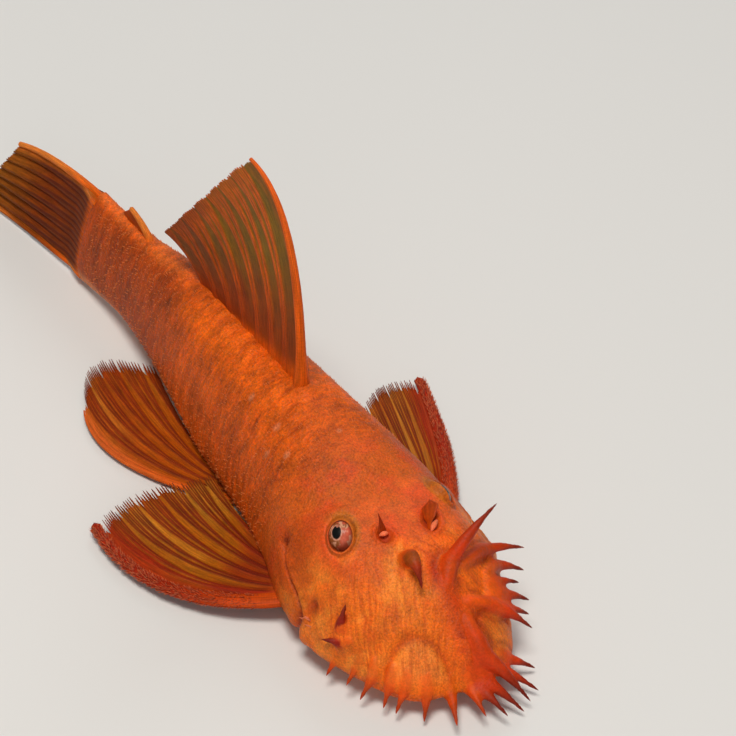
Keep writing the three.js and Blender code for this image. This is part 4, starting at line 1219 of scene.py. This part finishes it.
def buildEye(side):
    opening = eyeFrame(side)
    plan = pupil[sideNames[side]]
    look = unit(plan["look"])
    along = unit(opening[2] - look * (look @ opening[2]))
    across = np.cross(look, along)
    rings = 120
    sides = 110
    a, b = np.meshgrid(np.linspace(0, pi, rings), 2 * pi * np.arange(sides) / sides, indexing="ij")
    a = a[..., None]
    b = b[..., None]
    ray = look * np.cos(a) + (along * np.cos(b) + across * np.sin(b)) * np.sin(a)
    radius = eye["radius"] + eye["bulge"]
    points = (opening[0] + ray * radius).reshape(-1, 3)
    # the pole rings close onto single points
    points[:sides] = points[0]
    points[-sides:] = points[-1]
    piece = pieceFrom("ball_" + sideNames[side], placed(points), gridFaces(rings, sides, wrap=True))
    x = (ray @ along).ravel() * radius
    y = (ray @ across).ravel() * radius * side
    away = np.hypot(x, y)
    ahead = (ray @ look).ravel() > 0
    oval = np.hypot(x / pupil["along"], y / pupil["across"])
    # the lobe hangs into the pupil from above
    lobe = np.hypot((x - pupil["along"] * 1.05) / pupil["lobe"][0], (y + 0.12) / pupil["lobe"][1])
    patch = smoothNoise(x * 1.1 + 3, y * 1.1, 7)
    fleck = smoothNoise(x * 1.5, y * 3.2 + 5, 9)
    # pale broken streaks along the lower and outer part of the iris
    outer = bump(away - 1.2, 0.3) * ease(-0.3, 0.5, y - 0.5 * x)
    frill = 0.75 + 0.25 * np.sin(9 * np.arctan2(x, y))
    dark = (1 - ease(0.92, 1.08, oval)) * ease(0.85, 1.1, lobe)
    tone = layered(plain(eyePaint["rose"], x), eyePaint, [
        ("olive", ease(-0.05, 0.3, patch + 0.25 * y) * 0.85),
        ("pale", ease(0.16, 0.36, fleck) * ease(0.8, 1.1, away) * 0.85),
        ("pale", outer * ease(-0.15, 0.2, smoothNoise(x * 2.4, y * 2.4, 10)) * 0.8),
        # the ball darkens towards its rim, painted shade where it runs under the lids
        ("edge", ease(1.35, 1.85, away) * 0.6),
        ("ring", (1 - ease(1.1, 1.32, oval)) * ahead * frill),
        ("lobe", (1 - ease(0.8, 1.2, lobe)) * ahead * 0.6),
        ("pupil", dark * ahead),
    ])
    giveTone(piece, tone * plan["shade"])
    weld(piece, 0.000001)
    finish(piece, eyeMaterial, ("eye_" + sideNames[side],))


for side in sideNames:
    buildEye(side)
print("eyes done")

# Fins: one thin sheet each. Rays stand proud and part in two, in four and in eight
# towards the margin, and the skin between them is cut back a little.
finPaint = paints({
    "olive": (124, 94, 24), "oliveDark": (112, 64, 14), "rayFront": (204, 92, 40), "rayRear": (166, 72, 28),
    "rootRed": (138, 54, 12), "root": (206, 92, 34), "spineRed": (146, 46, 28), "paired": (150, 84, 24),
    "pairedRay": (108, 38, 16), "pairedRoot": (132, 56, 20), "gold": (172, 114, 44),
    "tailSkin": (90, 42, 10), "tailRay": (132, 66, 22), "tailEdge": (206, 118, 54),
    "pelvicSkin": (152, 74, 26), "pelvicRay": (110, 40, 17), "outer": (190, 92, 44),
    "shoulder": (184, 76, 34),
})


def finTone(start, like, *layers):
    return layered(plain(finPaint[start], like), finPaint, layers)


# Each ray parts in two three times: how far apart its branches lie at first, then at the margin
branching = {"start": 0.075, "first": 0.155, "second": 0.115, "third": 0.0575}


def lobes(fin, k, t):
    # how much of a ray there is at each point
    ray = np.round(k)
    x = k - ray
    one, two, three = (ease(start, 1.0, t) for start in fin["parts"])
    width = mix(fin["lobe"][0], fin["lobe"][1], t ** 0.8)
    mask = np.zeros(np.broadcast(k, t).shape)
    for first in (-1, 1):
        for second in (-1, 1):
            for third in (-1, 1):
                middle = first * (branching["start"] + branching["first"] * one)
                middle = middle + second * branching["second"] * two + third * branching["third"] * three
                mask = np.maximum(mask, np.exp(-((x - middle) / width) ** 2))
    return mask * np.where((ray < 0.5) & (x > 0), 0.25, 1.0)


def finPoint(fin, u, t):
    rows = (fin["base"](u), fin["control"](u), fin["tip"](u), fin["wave"](u, t))
    base, control, tip, wave = (np.stack(np.broadcast_arrays(*row), -1) for row in rows)
    return bezier(base, control, tip, t) + wave


def finSheet(name, fin):
    across = fin["across"]
    along = fin["along"]
    rays = fin["rays"]
    u, v = np.meshgrid(np.linspace(0, 1, across), np.linspace(0, 1, along), indexing="ij")
    k = u * (rays - 1)
    tipMask = lobes(fin, k, np.ones_like(k))
    fray = smoothNoise(k * 6.0, 0 * k, fin["seed"]) + 0.5 * smoothNoise(k * 19.0, 0 * k, fin["seed"] + 1)
    reachOut = 1 - fin["notch"] * (1 - tipMask) - fin["fray"] * np.abs(fray)
    t = v * reachOut
    mask = lobes(fin, k, t)
    middle = placed(finPoint(fin, u, t))
    normal = unit(np.cross(np.gradient(middle, axis=0), np.gradient(middle, axis=1)))
    thin = fin["skin"] * mix(1.0, 0.55, v)
    half = thin + mask * fin["ray"] * mix(1.0, 0.3, v) + fin["flesh"] * (1 - ease(0.0, 0.25, v))
    half = half * mix(1.0, 0.75, ease(0.96, 1.0, v))  # thinner still at the margin
    front = middle + normal * (half * mm)[..., None]
    back = middle - normal * (half * mm)[..., None]
    points = np.concatenate([front.reshape(-1, 3), back.reshape(-1, 3)])
    total = across * along

    def margin(first, second):
        # joins the two faces of the sheet along one of its four margins
        return np.stack([second, first, total + first, total + second], -1)

    i = np.arange(across - 1) * along
    j = np.arange(along - 1)
    end = along - 1
    side = (across - 1) * along
    faces = gridFaces(across, along)
    rim = [margin(i, i + along), margin(i + along + end, i + end)]
    rim += [margin(j + 1, j), margin(side + j, side + j + 1)]
    faces = np.concatenate([faces, faces[:, ::-1] + total, *rim])
    piece = pieceFrom(name, points, faces)
    tone = fin["tone"](u, t, mask)
    giveTone(piece, np.concatenate([tone.reshape(-1, 3)] * 2))
    laid = np.stack([k * fin["spacing"], t * fin["length"], 0 * k], -1).reshape(-1, 3)
    giveVector(piece, "laid", np.concatenate([laid, laid + np.array([31.0, 17.0, 0.0])]))
    clear = (1 - mask) * ease(0.06, 0.3, t)
    marks = np.stack([mask, clear, t], -1).reshape(-1, 3)
    giveVector(piece, "marks", np.concatenate([marks, marks]))
    return piece


def spineTube(fin, radii, colours, u=0.0, reach=(0.0, 1.0), flat=1.0, sides=18, rings=70, flare=0.0):
    # a stout ray: radii at its root and tip, colours at its root, middle and tip
    t = np.linspace(reach[0], reach[1], rings)
    path = finPoint(fin, np.full_like(t, u), t)
    r = mix(radii[0], radii[1], (t - reach[0]) / (reach[1] - reach[0]))
    r = r * (1 + 0.05 * smoothNoise(t * 30, 0 * t, 4)) + flare * (1 - ease(0.02, 0.13, t))
    points, faces = tube(bent(path) + frameShift, r, sides, flat)
    piece = pieceFrom("spine", points * mm, faces)
    share = np.concatenate([np.repeat(np.linspace(0, 1, rings), sides), [0.0, 1.0]])
    root, middle, tip = colours
    giveTone(piece, finTone(root, share, (middle, ease(0.0, 0.6, share)), (tip, ease(0.55, 1.0, share))))
    laid = np.tile(np.arange(sides), rings) * 0.3
    laid = np.stack([laid, np.repeat(t * 20, sides), 0 * laid], -1)
    giveVector(piece, "laid", np.concatenate([laid, laid[:1], laid[-1:]]))
    giveVector(piece, "marks", np.tile([0.6, 0.0, 0.0], (len(share), 1)))
    return piece


def dorsalTone(u, t, mask):
    wobble = smoothNoise(u * 9, t * 3, 31)
    rootward = (1 - ease(0.1, 0.55, t)) * 0.8
    bare = finTone("olive", u, ("oliveDark", ease(0.15, 0.85, u + 0.4 * wobble)), ("rootRed", rootward))
    rootward = (1 - ease(0.08, 0.4, t)) * 0.65
    ray = finTone("rayFront", u, ("rayRear", ease(0.2, 0.9, u)), ("rootRed", rootward))
    return over(over(bare, ray, mask * 0.9), finPaint["root"], 1 - ease(0.03, 0.1, t))


# Each fin: parts is where its rays split, lobe how wide they are at the root and the tip,
# spines its stout rays.
dorsal = {
    "spines": [{
        "radii": (0.72, 0.24), "colours": ("root", "rayFront", "rayFront"), "reach": (0.0, 0.99), "flare": 0.4,
    }],
    "rays": 8, "across": 350, "along": 110, "parts": (0.1, 0.36, 0.62), "lobe": (0.14, 0.038),
    "notch": 0.016, "fray": 0.03, "skin": 0.075, "ray": 0.18, "flesh": 0.25, "seed": 41, "spacing": 3.2,
    "length": 30.0,
    "base": lambda u: (mix(42.4, 66.5, u), 0 * u, backHeight(mix(42.4, 66.5, u)) - 1.4),
    "control": lambda u: (mix(43.5, 70.5, u ** 0.9), 0 * u, mix(47.2, 21.0, u ** 0.75)),
    "tip": lambda u: (mix(56.6, 77.3, u ** 0.86), 0 * u, mix(46.0, 18.9, u ** 0.92)),
    "wave": lambda u, t: (0 * u, 0.5 * np.sin(t * 2.6) * np.sin(u * 5) + 0.12 * np.sin(u * 31) * t, 0 * u),
    "tone": dorsalTone,
}


def caudalTone(u, t, mask):
    edge = np.maximum(1 - ease(0.02, 0.1, u), 0.8 * ease(0.95, 0.99, u))
    rootward = (1 - ease(0.02, 0.1, t - 0.03 * np.sin(u * pi))) * 0.8
    tone = finTone("tailSkin", u, ("tailRay", mask * 0.6), ("gold", ease(0.5, 1.0, t) * 0.3))
    return layered(tone, finPaint, [("tailEdge", edge), ("root", rootward)])


def caudalWave(u, t):
    slow = 0.35 * np.sin(u * 7 + t * 2) * ease(0.2, 1, t)
    return 0 * u, slow + 0.28 * np.sin(u * 47) * ease(0.1, 0.8, t), 0 * u


caudal = {
    "spines": [
        {"radii": (0.58, 0.36), "colours": ("root", "tailEdge", "tailEdge")},
        {"radii": (0.42, 0.24), "colours": ("root", "tailRay", "tailEdge"), "u": 1.0},
    ],
    "rays": 16, "across": 300, "along": 90, "parts": (0.2, 0.55, 2.0), "lobe": (0.2, 0.09), "notch": 0.035,
    "fray": 0.03, "skin": 0.08, "ray": 0.09, "flesh": 1.1, "seed": 53, "spacing": 0.9, "length": 21.0,
    "base": lambda u: (92.6 + 0 * u, 0 * u, mix(14.1, 1.3, u)),
    "control": lambda u: (mix(103, 104, u), 0 * u, mix(14.5, 0.65, u)),
    "tip": lambda u: (mix(111.3, 117.7, u), 0 * u, mix(12.0, 0.6, u)),
    "wave": caudalWave,
    "tone": caudalTone,
}


def adiposeTone(u, t, mask):
    return finTone("rayRear", u, ("tailEdge", (1 - ease(0.0, 0.3, u)) * 0.7))


adipose = {
    "spines": [{"radii": (0.62, 0.32), "colours": ("root", "tailEdge", "tailEdge"), "rings": 24}],
    "rays": 3, "across": 40, "along": 30, "parts": (0.9, 0.95, 2.0), "lobe": (0.2, 0.1), "notch": 0.0,
    "fray": 0.02, "skin": 0.12, "ray": 0.1, "flesh": 0.25, "seed": 61, "spacing": 2.0, "length": 6.0,
    "base": lambda u: (mix(80.4, 84.6, u), 0 * u, 13.3 + 0 * u),
    "control": lambda u: (mix(82.2, 86.2, u), 0 * u, mix(16.0, 14.6, u)),
    "tip": lambda u: (mix(85.9, 87.8, u), 0 * u, mix(16.8, 14.9, u)),
    "wave": lambda u, t: (0 * u, 0 * u, 0 * u),
    "tone": adiposeTone,
}


def analTone(u, t, mask):
    return finTone("pelvicSkin", u, ("pelvicRay", mask * 0.9))


anal = {
    "spines": [],
    "rays": 5, "across": 100, "along": 40, "parts": (0.4, 0.7, 2.0), "lobe": (0.15, 0.08), "notch": 0.06,
    "fray": 0.03, "skin": 0.09, "ray": 0.16, "flesh": 0.2, "seed": 67, "spacing": 1.2, "length": 11.0,
    "base": lambda u: (mix(58.4, 62.6, u), mix(0.2, 0.4, u), mix(1.1, 1.6, u)),
    "control": lambda u: (mix(61.5, 65.5, u), mix(3.0, 0.9, u), 0.75 + 0 * u),
    "tip": lambda u: (mix(68.6, 70.2, u), mix(4.6, 1.7, u), 0.62 + 0 * u),
    "wave": lambda u, t: (0 * u, 0 * u, 0.05 * np.sin(u * 20) * t),
    "tone": analTone,
}


def fineStreaks(tone, u, t, seed):
    # uneven hair lines along the rays
    coarse = smoothNoise(u * 34, t * 1.3, seed, 2)
    fine = smoothNoise(u * 90, t * 2.4, seed + 1, 2)
    return tone * (1 + 0.22 * coarse + 0.26 * fine)[..., None]


def pectoralTone(u, t, mask):
    wobble = smoothNoise(u * 7, t * 4, 71)
    patchy = ease(-0.35, 0.25, smoothNoise(u * 11, t * 2, 73))
    gold = ease(0.5, 0.95, t + 0.3 * wobble) * ease(0.1, 0.4, u) * patchy * 0.85
    bare = finTone("paired", u, ("pairedRoot", 1 - ease(0.15, 0.6, t + 0.4 * wobble)), ("gold", gold))
    tone = over(bare, finTone("pairedRay", u, ("spineRed", 1 - ease(0.0, 0.3, u))), mask * 0.9)
    tone = over(tone, finPaint["spineRed"], (1 - ease(0.06, 0.22, u + 0.06 * wobble)) * 0.85)
    return over(fineStreaks(tone, u, t, 75), finPaint["root"], (1 - ease(0.04, 0.14, t)) * 0.7)


pectoralSpine = {
    "radii": (1.3, 0.66), "colours": ("shoulder", "spineRed", "spineRed"), "flat": 0.5, "sides": 22,
}


def pectoralPlan(side, spineControl, spineTip, rearTip, seed):
    return {
        "spines": [pectoralSpine],
        "rays": 7, "across": 350, "along": 90, "parts": (0.1, 0.32, 0.58), "lobe": (0.14, 0.036),
        "notch": 0.06, "fray": 0.05, "skin": 0.075, "ray": 0.2, "flesh": 0.2, "seed": seed, "spacing": 3.0,
        "length": 26.0,
        "base": lambda u: (mix(22.5, 27.6, u), mix(10.7, 9.6, u) * side, 3.4 + 0 * u),
        "control": lambda u: (
            mix(spineControl[0], 36, u ** 0.9),
            mix(spineControl[1], 10.5, u ** 0.85) * side,
            mix(1.2, 2.6, u),
        ),
        "tip": lambda u: (
            mix(spineTip[0], rearTip[0], u) + 2.2 * np.sin(pi * np.minimum(1, u * 1.25)),
            mix(spineTip[1], rearTip[1], u ** 1.15) * side,
            mix(0.95, 2.5, ease(0, 0.6, u)),
        ),
        "wave": lambda u, t: (0 * u, 0 * u, 0.28 * np.sin(u * 9 + 1) * ease(0.3, 1, t)),
        "tone": pectoralTone,
    }


# side, then s and y of the leading ray's bend, of its tip and of the rear tip, then the seed
pectoral = {
    "right": (-1, [30.0, 28.6], [48.3, 25.8], [48.6, 8.7], 5),
    "left": (1, [35.6, 21.2], [51.6, 25.7], [48.8, 12.0], 9),
}
bristles = {
    "count": 900, "from": 0.14, "to": 0.985, "length": (0.35, 0.85), "radius": 0.05, "turn": (-0.3, 2.5),
    "sweep": (0.9, 1.8), "shade": (0.75, 1.2), "sides": 4, "sunk": 0.06, "leastHeight": 0.06,
}
thornPaint = paints({
    "thorn": (206, 104, 62), "thornDark": (126, 38, 24), "hook": (220, 120, 84), "prickle": (200, 108, 58),
})


def thorn(start, way, length, radius, sides):
    # a tapering hook of as many rings as sides, and how far each of its points is towards the tip
    t = np.linspace(0, 1, sides)
    part = tube(start + way * (t * length)[:, None], radius * (1 - t) ** 0.8 + 0.012, sides)
    return part, np.concatenate([np.repeat(t, sides), [0, 1]])


def finishThorns(name, parts, tone):
    points, faces = gather(parts)
    piece = pieceFrom(name, (points + frameShift) * mm, faces)
    giveTone(piece, tone)
    finish(piece, thornMaterial)


def spineBristles(name, fin, side, seed):
    random = np.random.default_rng(seed)
    count = bristles["count"]
    parts = []
    tones = []
    for i in range(count):
        t = mix(bristles["from"], bristles["to"], ((i + random.random()) / count) ** 0.8)
        here = finPoint(fin, np.zeros(2), np.array([t, min(1.0, t + 0.02)]))
        ahead = unit(here[1] - here[0])
        out = unit([-ahead[1], ahead[0], 0.0])
        if out[1] * side < 0:
            out = -out
        turn = random.uniform(*bristles["turn"])
        outward = out * math.cos(turn) + np.array([0, 0, 1.0]) * math.sin(turn)
        way = unit(outward * 0.8 + ahead * random.uniform(*bristles["sweep"]))
        girth = mix(*pectoralSpine["radii"], t) - bristles["sunk"]
        rim = out * math.cos(turn) + np.array([0, 0, pectoralSpine["flat"]]) * math.sin(turn)
        start = here[0] + girth * rim
        length = random.uniform(*bristles["length"]) * mix(0.6, 1.0, t)
        # none goes into the floor
        short = max(0.0, bristles["leastHeight"] - (start + way * length)[2])
        way = unit(way + np.array([0, 0, short / length]))
        base = bent(start)
        way = unit(bent(start + way * 0.5) - base)
        part, share = thorn(base, way, length, bristles["radius"] * mix(0.85, 1.15, t), bristles["sides"])
        parts.append(part)
        tone = over(plain(thornPaint["thornDark"], share), thornPaint["thorn"], share ** 1.3)
        tones.append(tone * random.uniform(*bristles["shade"]))
    finishThorns(name, parts, np.concatenate(tones))


def pelvicTone(u, t, mask):
    wobble = smoothNoise(u * 7, t * 4, 81)
    patchy = ease(-0.35, 0.25, smoothNoise(u * 9, t * 2, 83))
    gold = ease(0.55, 1.0, t + 0.3 * wobble) * patchy * 0.55
    tone = fineStreaks(finTone("pelvicSkin", u, ("gold", gold), ("pelvicRay", mask * 0.8)), u, t, 85)
    return over(tone, finPaint["outer"], (1 - ease(0.03, 0.12, u)) * 0.8)


def pelvicPlan(side, sweep, spineTip, rearTip, fullness, seed):
    return {
        "spines": [
            {"radii": (0.66, 0.1), "colours": ("root", "outer", "outer"), "reach": (0.0, 0.96), "flat": 0.8},
        ],
        "rays": 6, "across": 275, "along": 80, "parts": (0.1, 0.32, 0.58), "lobe": (0.14, 0.038),
        "notch": 0.085, "fray": 0.035, "skin": 0.075, "ray": 0.18, "flesh": 0.2, "seed": seed,
        "spacing": 2.4, "length": 27.0,
        "base": lambda u: (mix(43.6, 48.6, u), mix(7.2, 6.9, u) * side, 0.8 + 0 * u),
        "control": lambda u: (mix(59, 58.5, u), mix(sweep, 7.2, u ** 0.9) * side, 0.7 + 0 * u),
        "tip": lambda u: (
            mix(spineTip[0], rearTip[0], u) + fullness * np.sin(pi * u),
            mix(spineTip[1], rearTip[1], u) * side,
            0.75 + 0 * u,
        ),
        "wave": lambda u, t: (0 * u, 0 * u, 0.1 * np.sin(u * 8) * ease(0.4, 1, t)),
        "tone": pelvicTone,
    }


# side, how far out the leading ray bends, s and y of its tip and of the rear tip, fullness, seed
pelvic = {
    "right": (-1, 21.7, [70.0, 15.1], [72.2, 2.8], 6.3, 13),
    "left": (1, 16.6, [71.8, 12.6], [70.2, 7.0], 3.4, 17),
}


def buildFan(name, fin, side=""):
    # the sheet and its stout rays as one piece in the place of the fin's node
    title = name + "_fan" + side
    whole = merged(title, finSheet(title, fin), *[spineTube(fin, **plan) for plan in fin["spines"]])
    finish(whole, finMaterial, (name + "_fin" + side,))


buildFan("dorsal", dorsal)
buildFan("caudal", caudal)
buildFan("adipose", adipose)
buildFan("anal", anal)
for name, plan in pectoral.items():
    fin = pectoralPlan(*plan)
    buildFan("pectoral", fin, "_" + name)
    spineBristles("pectoral_bristles_" + name, fin, plan[0], plan[-1])
for name, plan in pelvic.items():
    buildFan("pelvic", pelvicPlan(*plan), "_" + name)
print("fins done")

# Odontodes: hooks on the cheeks and tiny prickles on the plates, thickest along their rear edges
cheek = {
    "count": 7, "s": (14.6, 1.8), "z": (6.8, 1.3), "length": (0.5, 1.1), "radius": 0.13, "sides": 5,
    "right": 37, "left": 71,
}


def bodyNormal(s, angle):
    ds = bodyPoint(s + 0.05, angle) - bodyPoint(s - 0.05, angle)
    da = bodyPoint(s, angle + 0.01) - bodyPoint(s, angle - 0.01)
    n = unit(np.cross(ds, da))
    middle = np.array([float(s), 0.0, float(midHeight(s))])
    return n if (n * (bodyPoint(s, angle) - middle)).sum() > 0 else -n


def buildCheekHooks():
    parts = []
    tones = []
    hook = thornPaint["hook"]
    for side, name in sideNames.items():
        random = np.random.default_rng(cheek[name])
        for made in range(cheek["count"]):
            s = cheek["s"][0] + cheek["s"][1] * random.random()
            z = cheek["z"][0] + cheek["z"][1] * (random.random() - 0.5)
            start = np.array([s, side * (float(halfWidth(s)) - 0.1), z])
            back = 1.0 + random.random()
            out = side * (0.8 + 0.6 * random.random())
            way = unit([back, out, 0.4 * (random.random() - 0.4)])
            length = random.uniform(*cheek["length"])
            aim = unit(bent(start + way * 0.5) - bent(start))
            part, share = thorn(bent(start), aim, length, cheek["radius"], cheek["sides"])
            parts.append(part)
            tones.append(over(plain(hook, share) * 0.6, hook, share))
    finishThorns("cheek_hooks", parts, np.concatenate(tones))


prickle = {
    "perPlate": 17, "length": (0.2, 0.4), "radius": 0.055, "taper": (1.0, 0.7, 0.12), "seed": 23,
    "onEdge": 0.35, "inPlate": (0.12, 0.95), "lift": (0.35, 0.75), "last": 91.0, "lowest": 0.3,
}


def buildPrickles():
    plate = skin["plate"]
    random = np.random.default_rng(prickle["seed"])
    span = (90 - plate["lowest"]) / plate["rows"]
    spots = [
        (column, row, j, side)
        for column in range(plate["count"])
        for row in range(plate["rows"])
        for j in range(prickle["perPlate"])
        for side in sideNames
    ]
    parts = []
    for column, row, j, side in spots:
        f = (j + random.random()) / prickle["perPlate"]
        turnDeg = plate["lowest"] + (row + f) * span
        slip = mix(*plate["bow"], 0.5 - 0.5 * math.cos(2 * pi * f))
        onEdge = random.random() < prickle["onEdge"]
        inPlate = plate["rearEdge"] if onEdge else random.uniform(*prickle["inPlate"])
        s = np.float64(plate["first"] + slip + (column + inPlate) * plate["pitch"])
        if s > prickle["last"]:
            continue
        angle = np.float64(math.radians(turnDeg if side > 0 else 180 - turnDeg))
        lift = float(plateRelief(s, turnDeg)[0])
        n = bodyNormal(s, angle)
        p = bodyPoint(s, angle) + n * (lift - 0.03)
        if p[2] < prickle["lowest"]:
            continue
        start = bent(p)
        tail = bent(p + np.array([0.2, 0, 0])) - start
        flat = bent(p + np.array([0, n[1], 0])) - start
        outward = unit([flat[0] + tail[0] * n[0] * 5, flat[1] + tail[1] * n[0] * 5, n[2]])
        way = unit(unit(tail) * 0.85 + outward * random.uniform(*prickle["lift"]))
        length = random.uniform(*prickle["length"])
        path = start + way * (np.array([0.0, 0.5, 1.0]) * length)[:, None]
        parts.append(tube(path, prickle["radius"] * np.array(prickle["taper"]), 4))
    count = sum(len(part[0]) for part in parts)
    finishThorns("plate_prickles", parts, np.tile(thornPaint["prickle"], (count, 1)))
    print("prickles:", len(parts))


def leafWidth(t):
    blunt = np.sqrt(1.08 - ease(0.82, 1.02, t))
    return (0.3 + 0.9 * ease(0.05, 0.7, t)) * (1 + 0.09 * np.sin(19 * t)) * blunt


# The right flap is a thin upright point. The left one is a broad leaf lying across its pit.
# Flap and bar are each a foot, a bend and a tip, in millimetres from the pit.
flaps = {
    "right": {
        "flap": ((0.75, 0.0, -0.9), (0.45, 0.0, 0.9), (1.3, -0.3, 2.7)), "lean": (1, 0, 0.2), "flat": 0.35,
        "wide": lambda t: 0.9 * (1 - t) ** 1.3 + 0.03, "dark": 0.9,
        "bar": ((0.2, -0.6, -0.1), (0.05, -0.05, 0.2), (-0.02, 0.5, 0.0)), "thick": 0.26,
    },
    "left": {
        "flap": ((-1.3, -1.0, -0.35), (-0.2, -0.35, 0.9), (1.55, 0.7, 1.15)), "lean": (-0.55, -0.3, 0.8),
        "flat": 0.16, "wide": leafWidth, "dark": 0.56,
        "bar": ((-2.0, -1.1, 0.0), (-1.5, -0.45, 0.5), (-0.9, 0.35, 0.25)), "thick": 0.24,
    },
}
flapPaint = paints({"flap": (104, 36, 18), "bar": (232, 116, 78)})


def buildNostrilFlaps():
    sides = 20
    parts = []
    tones = []
    for side, name in sideNames.items():
        plan = flaps[name]
        root = nostrilPlace(side)
        t = np.linspace(0, 1, 24)
        path = bezier(*(root + place for place in plan["flap"]), t)
        parts.append(tube(bent(path), plan["wide"](t), sides, plan["flat"], lean=plan["lean"]))
        share = np.concatenate([np.repeat(t, sides), [0, 1]])
        # fine lines run up the flap
        lines = 1 + 0.35 * np.sin(np.arange(len(share)) % sides * 2.9) * share
        tone = over(plain(skinPaint["margin"], share), flapPaint["flap"], share ** 0.6 * plan["dark"])
        tones.append(tone * lines[:, None])
        t = np.linspace(0, 1, 9)
        path = bezier(*(root + place for place in plan["bar"]), t)
        parts.append(tube(bent(path), 0.12 + plan["thick"] * np.sin(pi * t), 10, 0.8))
        tones.append(np.tile(flapPaint["bar"], (len(parts[-1][0]), 1)))
    points, faces = gather(parts)
    piece = pieceFrom("nostril_flaps", (points + frameShift) * mm, faces)
    giveTone(piece, np.concatenate(tones))
    giveVector(piece, "laid", points)
    giveVector(piece, "marks", np.tile([0.2, 0.0, 0.0], (len(points), 1)))
    finish(piece, skinMaterial)


buildCheekHooks()
buildPrickles()
buildNostrilFlaps()
print("hooks, prickles and nostril flaps done")

# Sucker mouth: a fleshy disc with papillae on its lips and the mouth across its middle
mouth = {"s": 10.2, "long": 6.6, "across": 7.8, "top": 2.0, "papilla": 0.16, "scallop": 0.014}
lipPaint = paints({"lip": (226, 150, 104), "inner": (196, 104, 72), "slit": (92, 34, 24)})


def buildMouth():
    rings = 70
    sides = 180
    share, a = np.meshgrid(np.linspace(0, 1, rings), 2 * pi * np.arange(sides) / sides, indexing="ij")
    reach = 1 - share
    scallop = 1 + mouth["scallop"] * np.cos(26 * a) * ease(0.8, 1.0, reach)
    x = mouth["s"] + mouth["long"] * reach * scallop * np.cos(a)
    y = mouth["across"] * reach * scallop * np.sin(a)
    lip = 0.45 * (1 - ease(0.62, 0.76, reach)) + 1.0 * ease(0.93, 1.0, reach) ** 2
    rows = 0.5 + 0.5 * np.cos(reach * 75)
    beads = mouth["papilla"] * rows * (0.5 + 0.5 * np.cos(a * 64 + np.floor(reach * 12) * 2))
    z = 0.02 + lip + beads * ease(0.2, 0.4, reach) * (1 - ease(0.9, 0.98, reach)) * 0.5
    slit = np.hypot((x - mouth["s"] + 0.6) / 0.9, y / 2.4)
    z = z + 0.8 * (1 - ease(0.7, 1.1, slit))
    under = np.stack([x, y, z], -1).reshape(-1, 3)
    crown = under[:sides].copy()
    crown[:, 2] = mouth["top"]
    middle = np.array([mouth["s"], 0])
    crown[:, :2] = middle + (crown[:, :2] - middle) * 0.93
    points = np.concatenate([crown, under, [[mouth["s"], 0, mouth["top"]]]])
    faces = gridFaces(rings + 1, sides, wrap=True).tolist()
    last = len(points) - 1
    faces += [[last, (j + 1) % sides, j] for j in range(sides)]
    piece = pieceFrom("sucker_disc", placed(points), faces)
    reach = reach.ravel()
    # the slit is dark: partly the mouth's own colour, partly painted shade in its hollow
    tone = layered(plain(lipPaint["lip"], reach), lipPaint, [
        ("inner", 1 - ease(0.3, 0.7, reach)), ("slit", 1 - ease(0.8, 1.2, slit.ravel())),
    ])
    giveTone(piece, np.concatenate([np.tile(lipPaint["lip"], (sides, 1)), tone, lipPaint["lip"][None]]))
    giveVector(piece, "laid", points)
    giveVector(piece, "marks", np.tile([0.5, 0.0, 0.0], (len(points), 1)))
    weld(piece, 0.000001)
    finish(piece, skinMaterial, ("mouth",))


buildMouth()
print("mouth done")
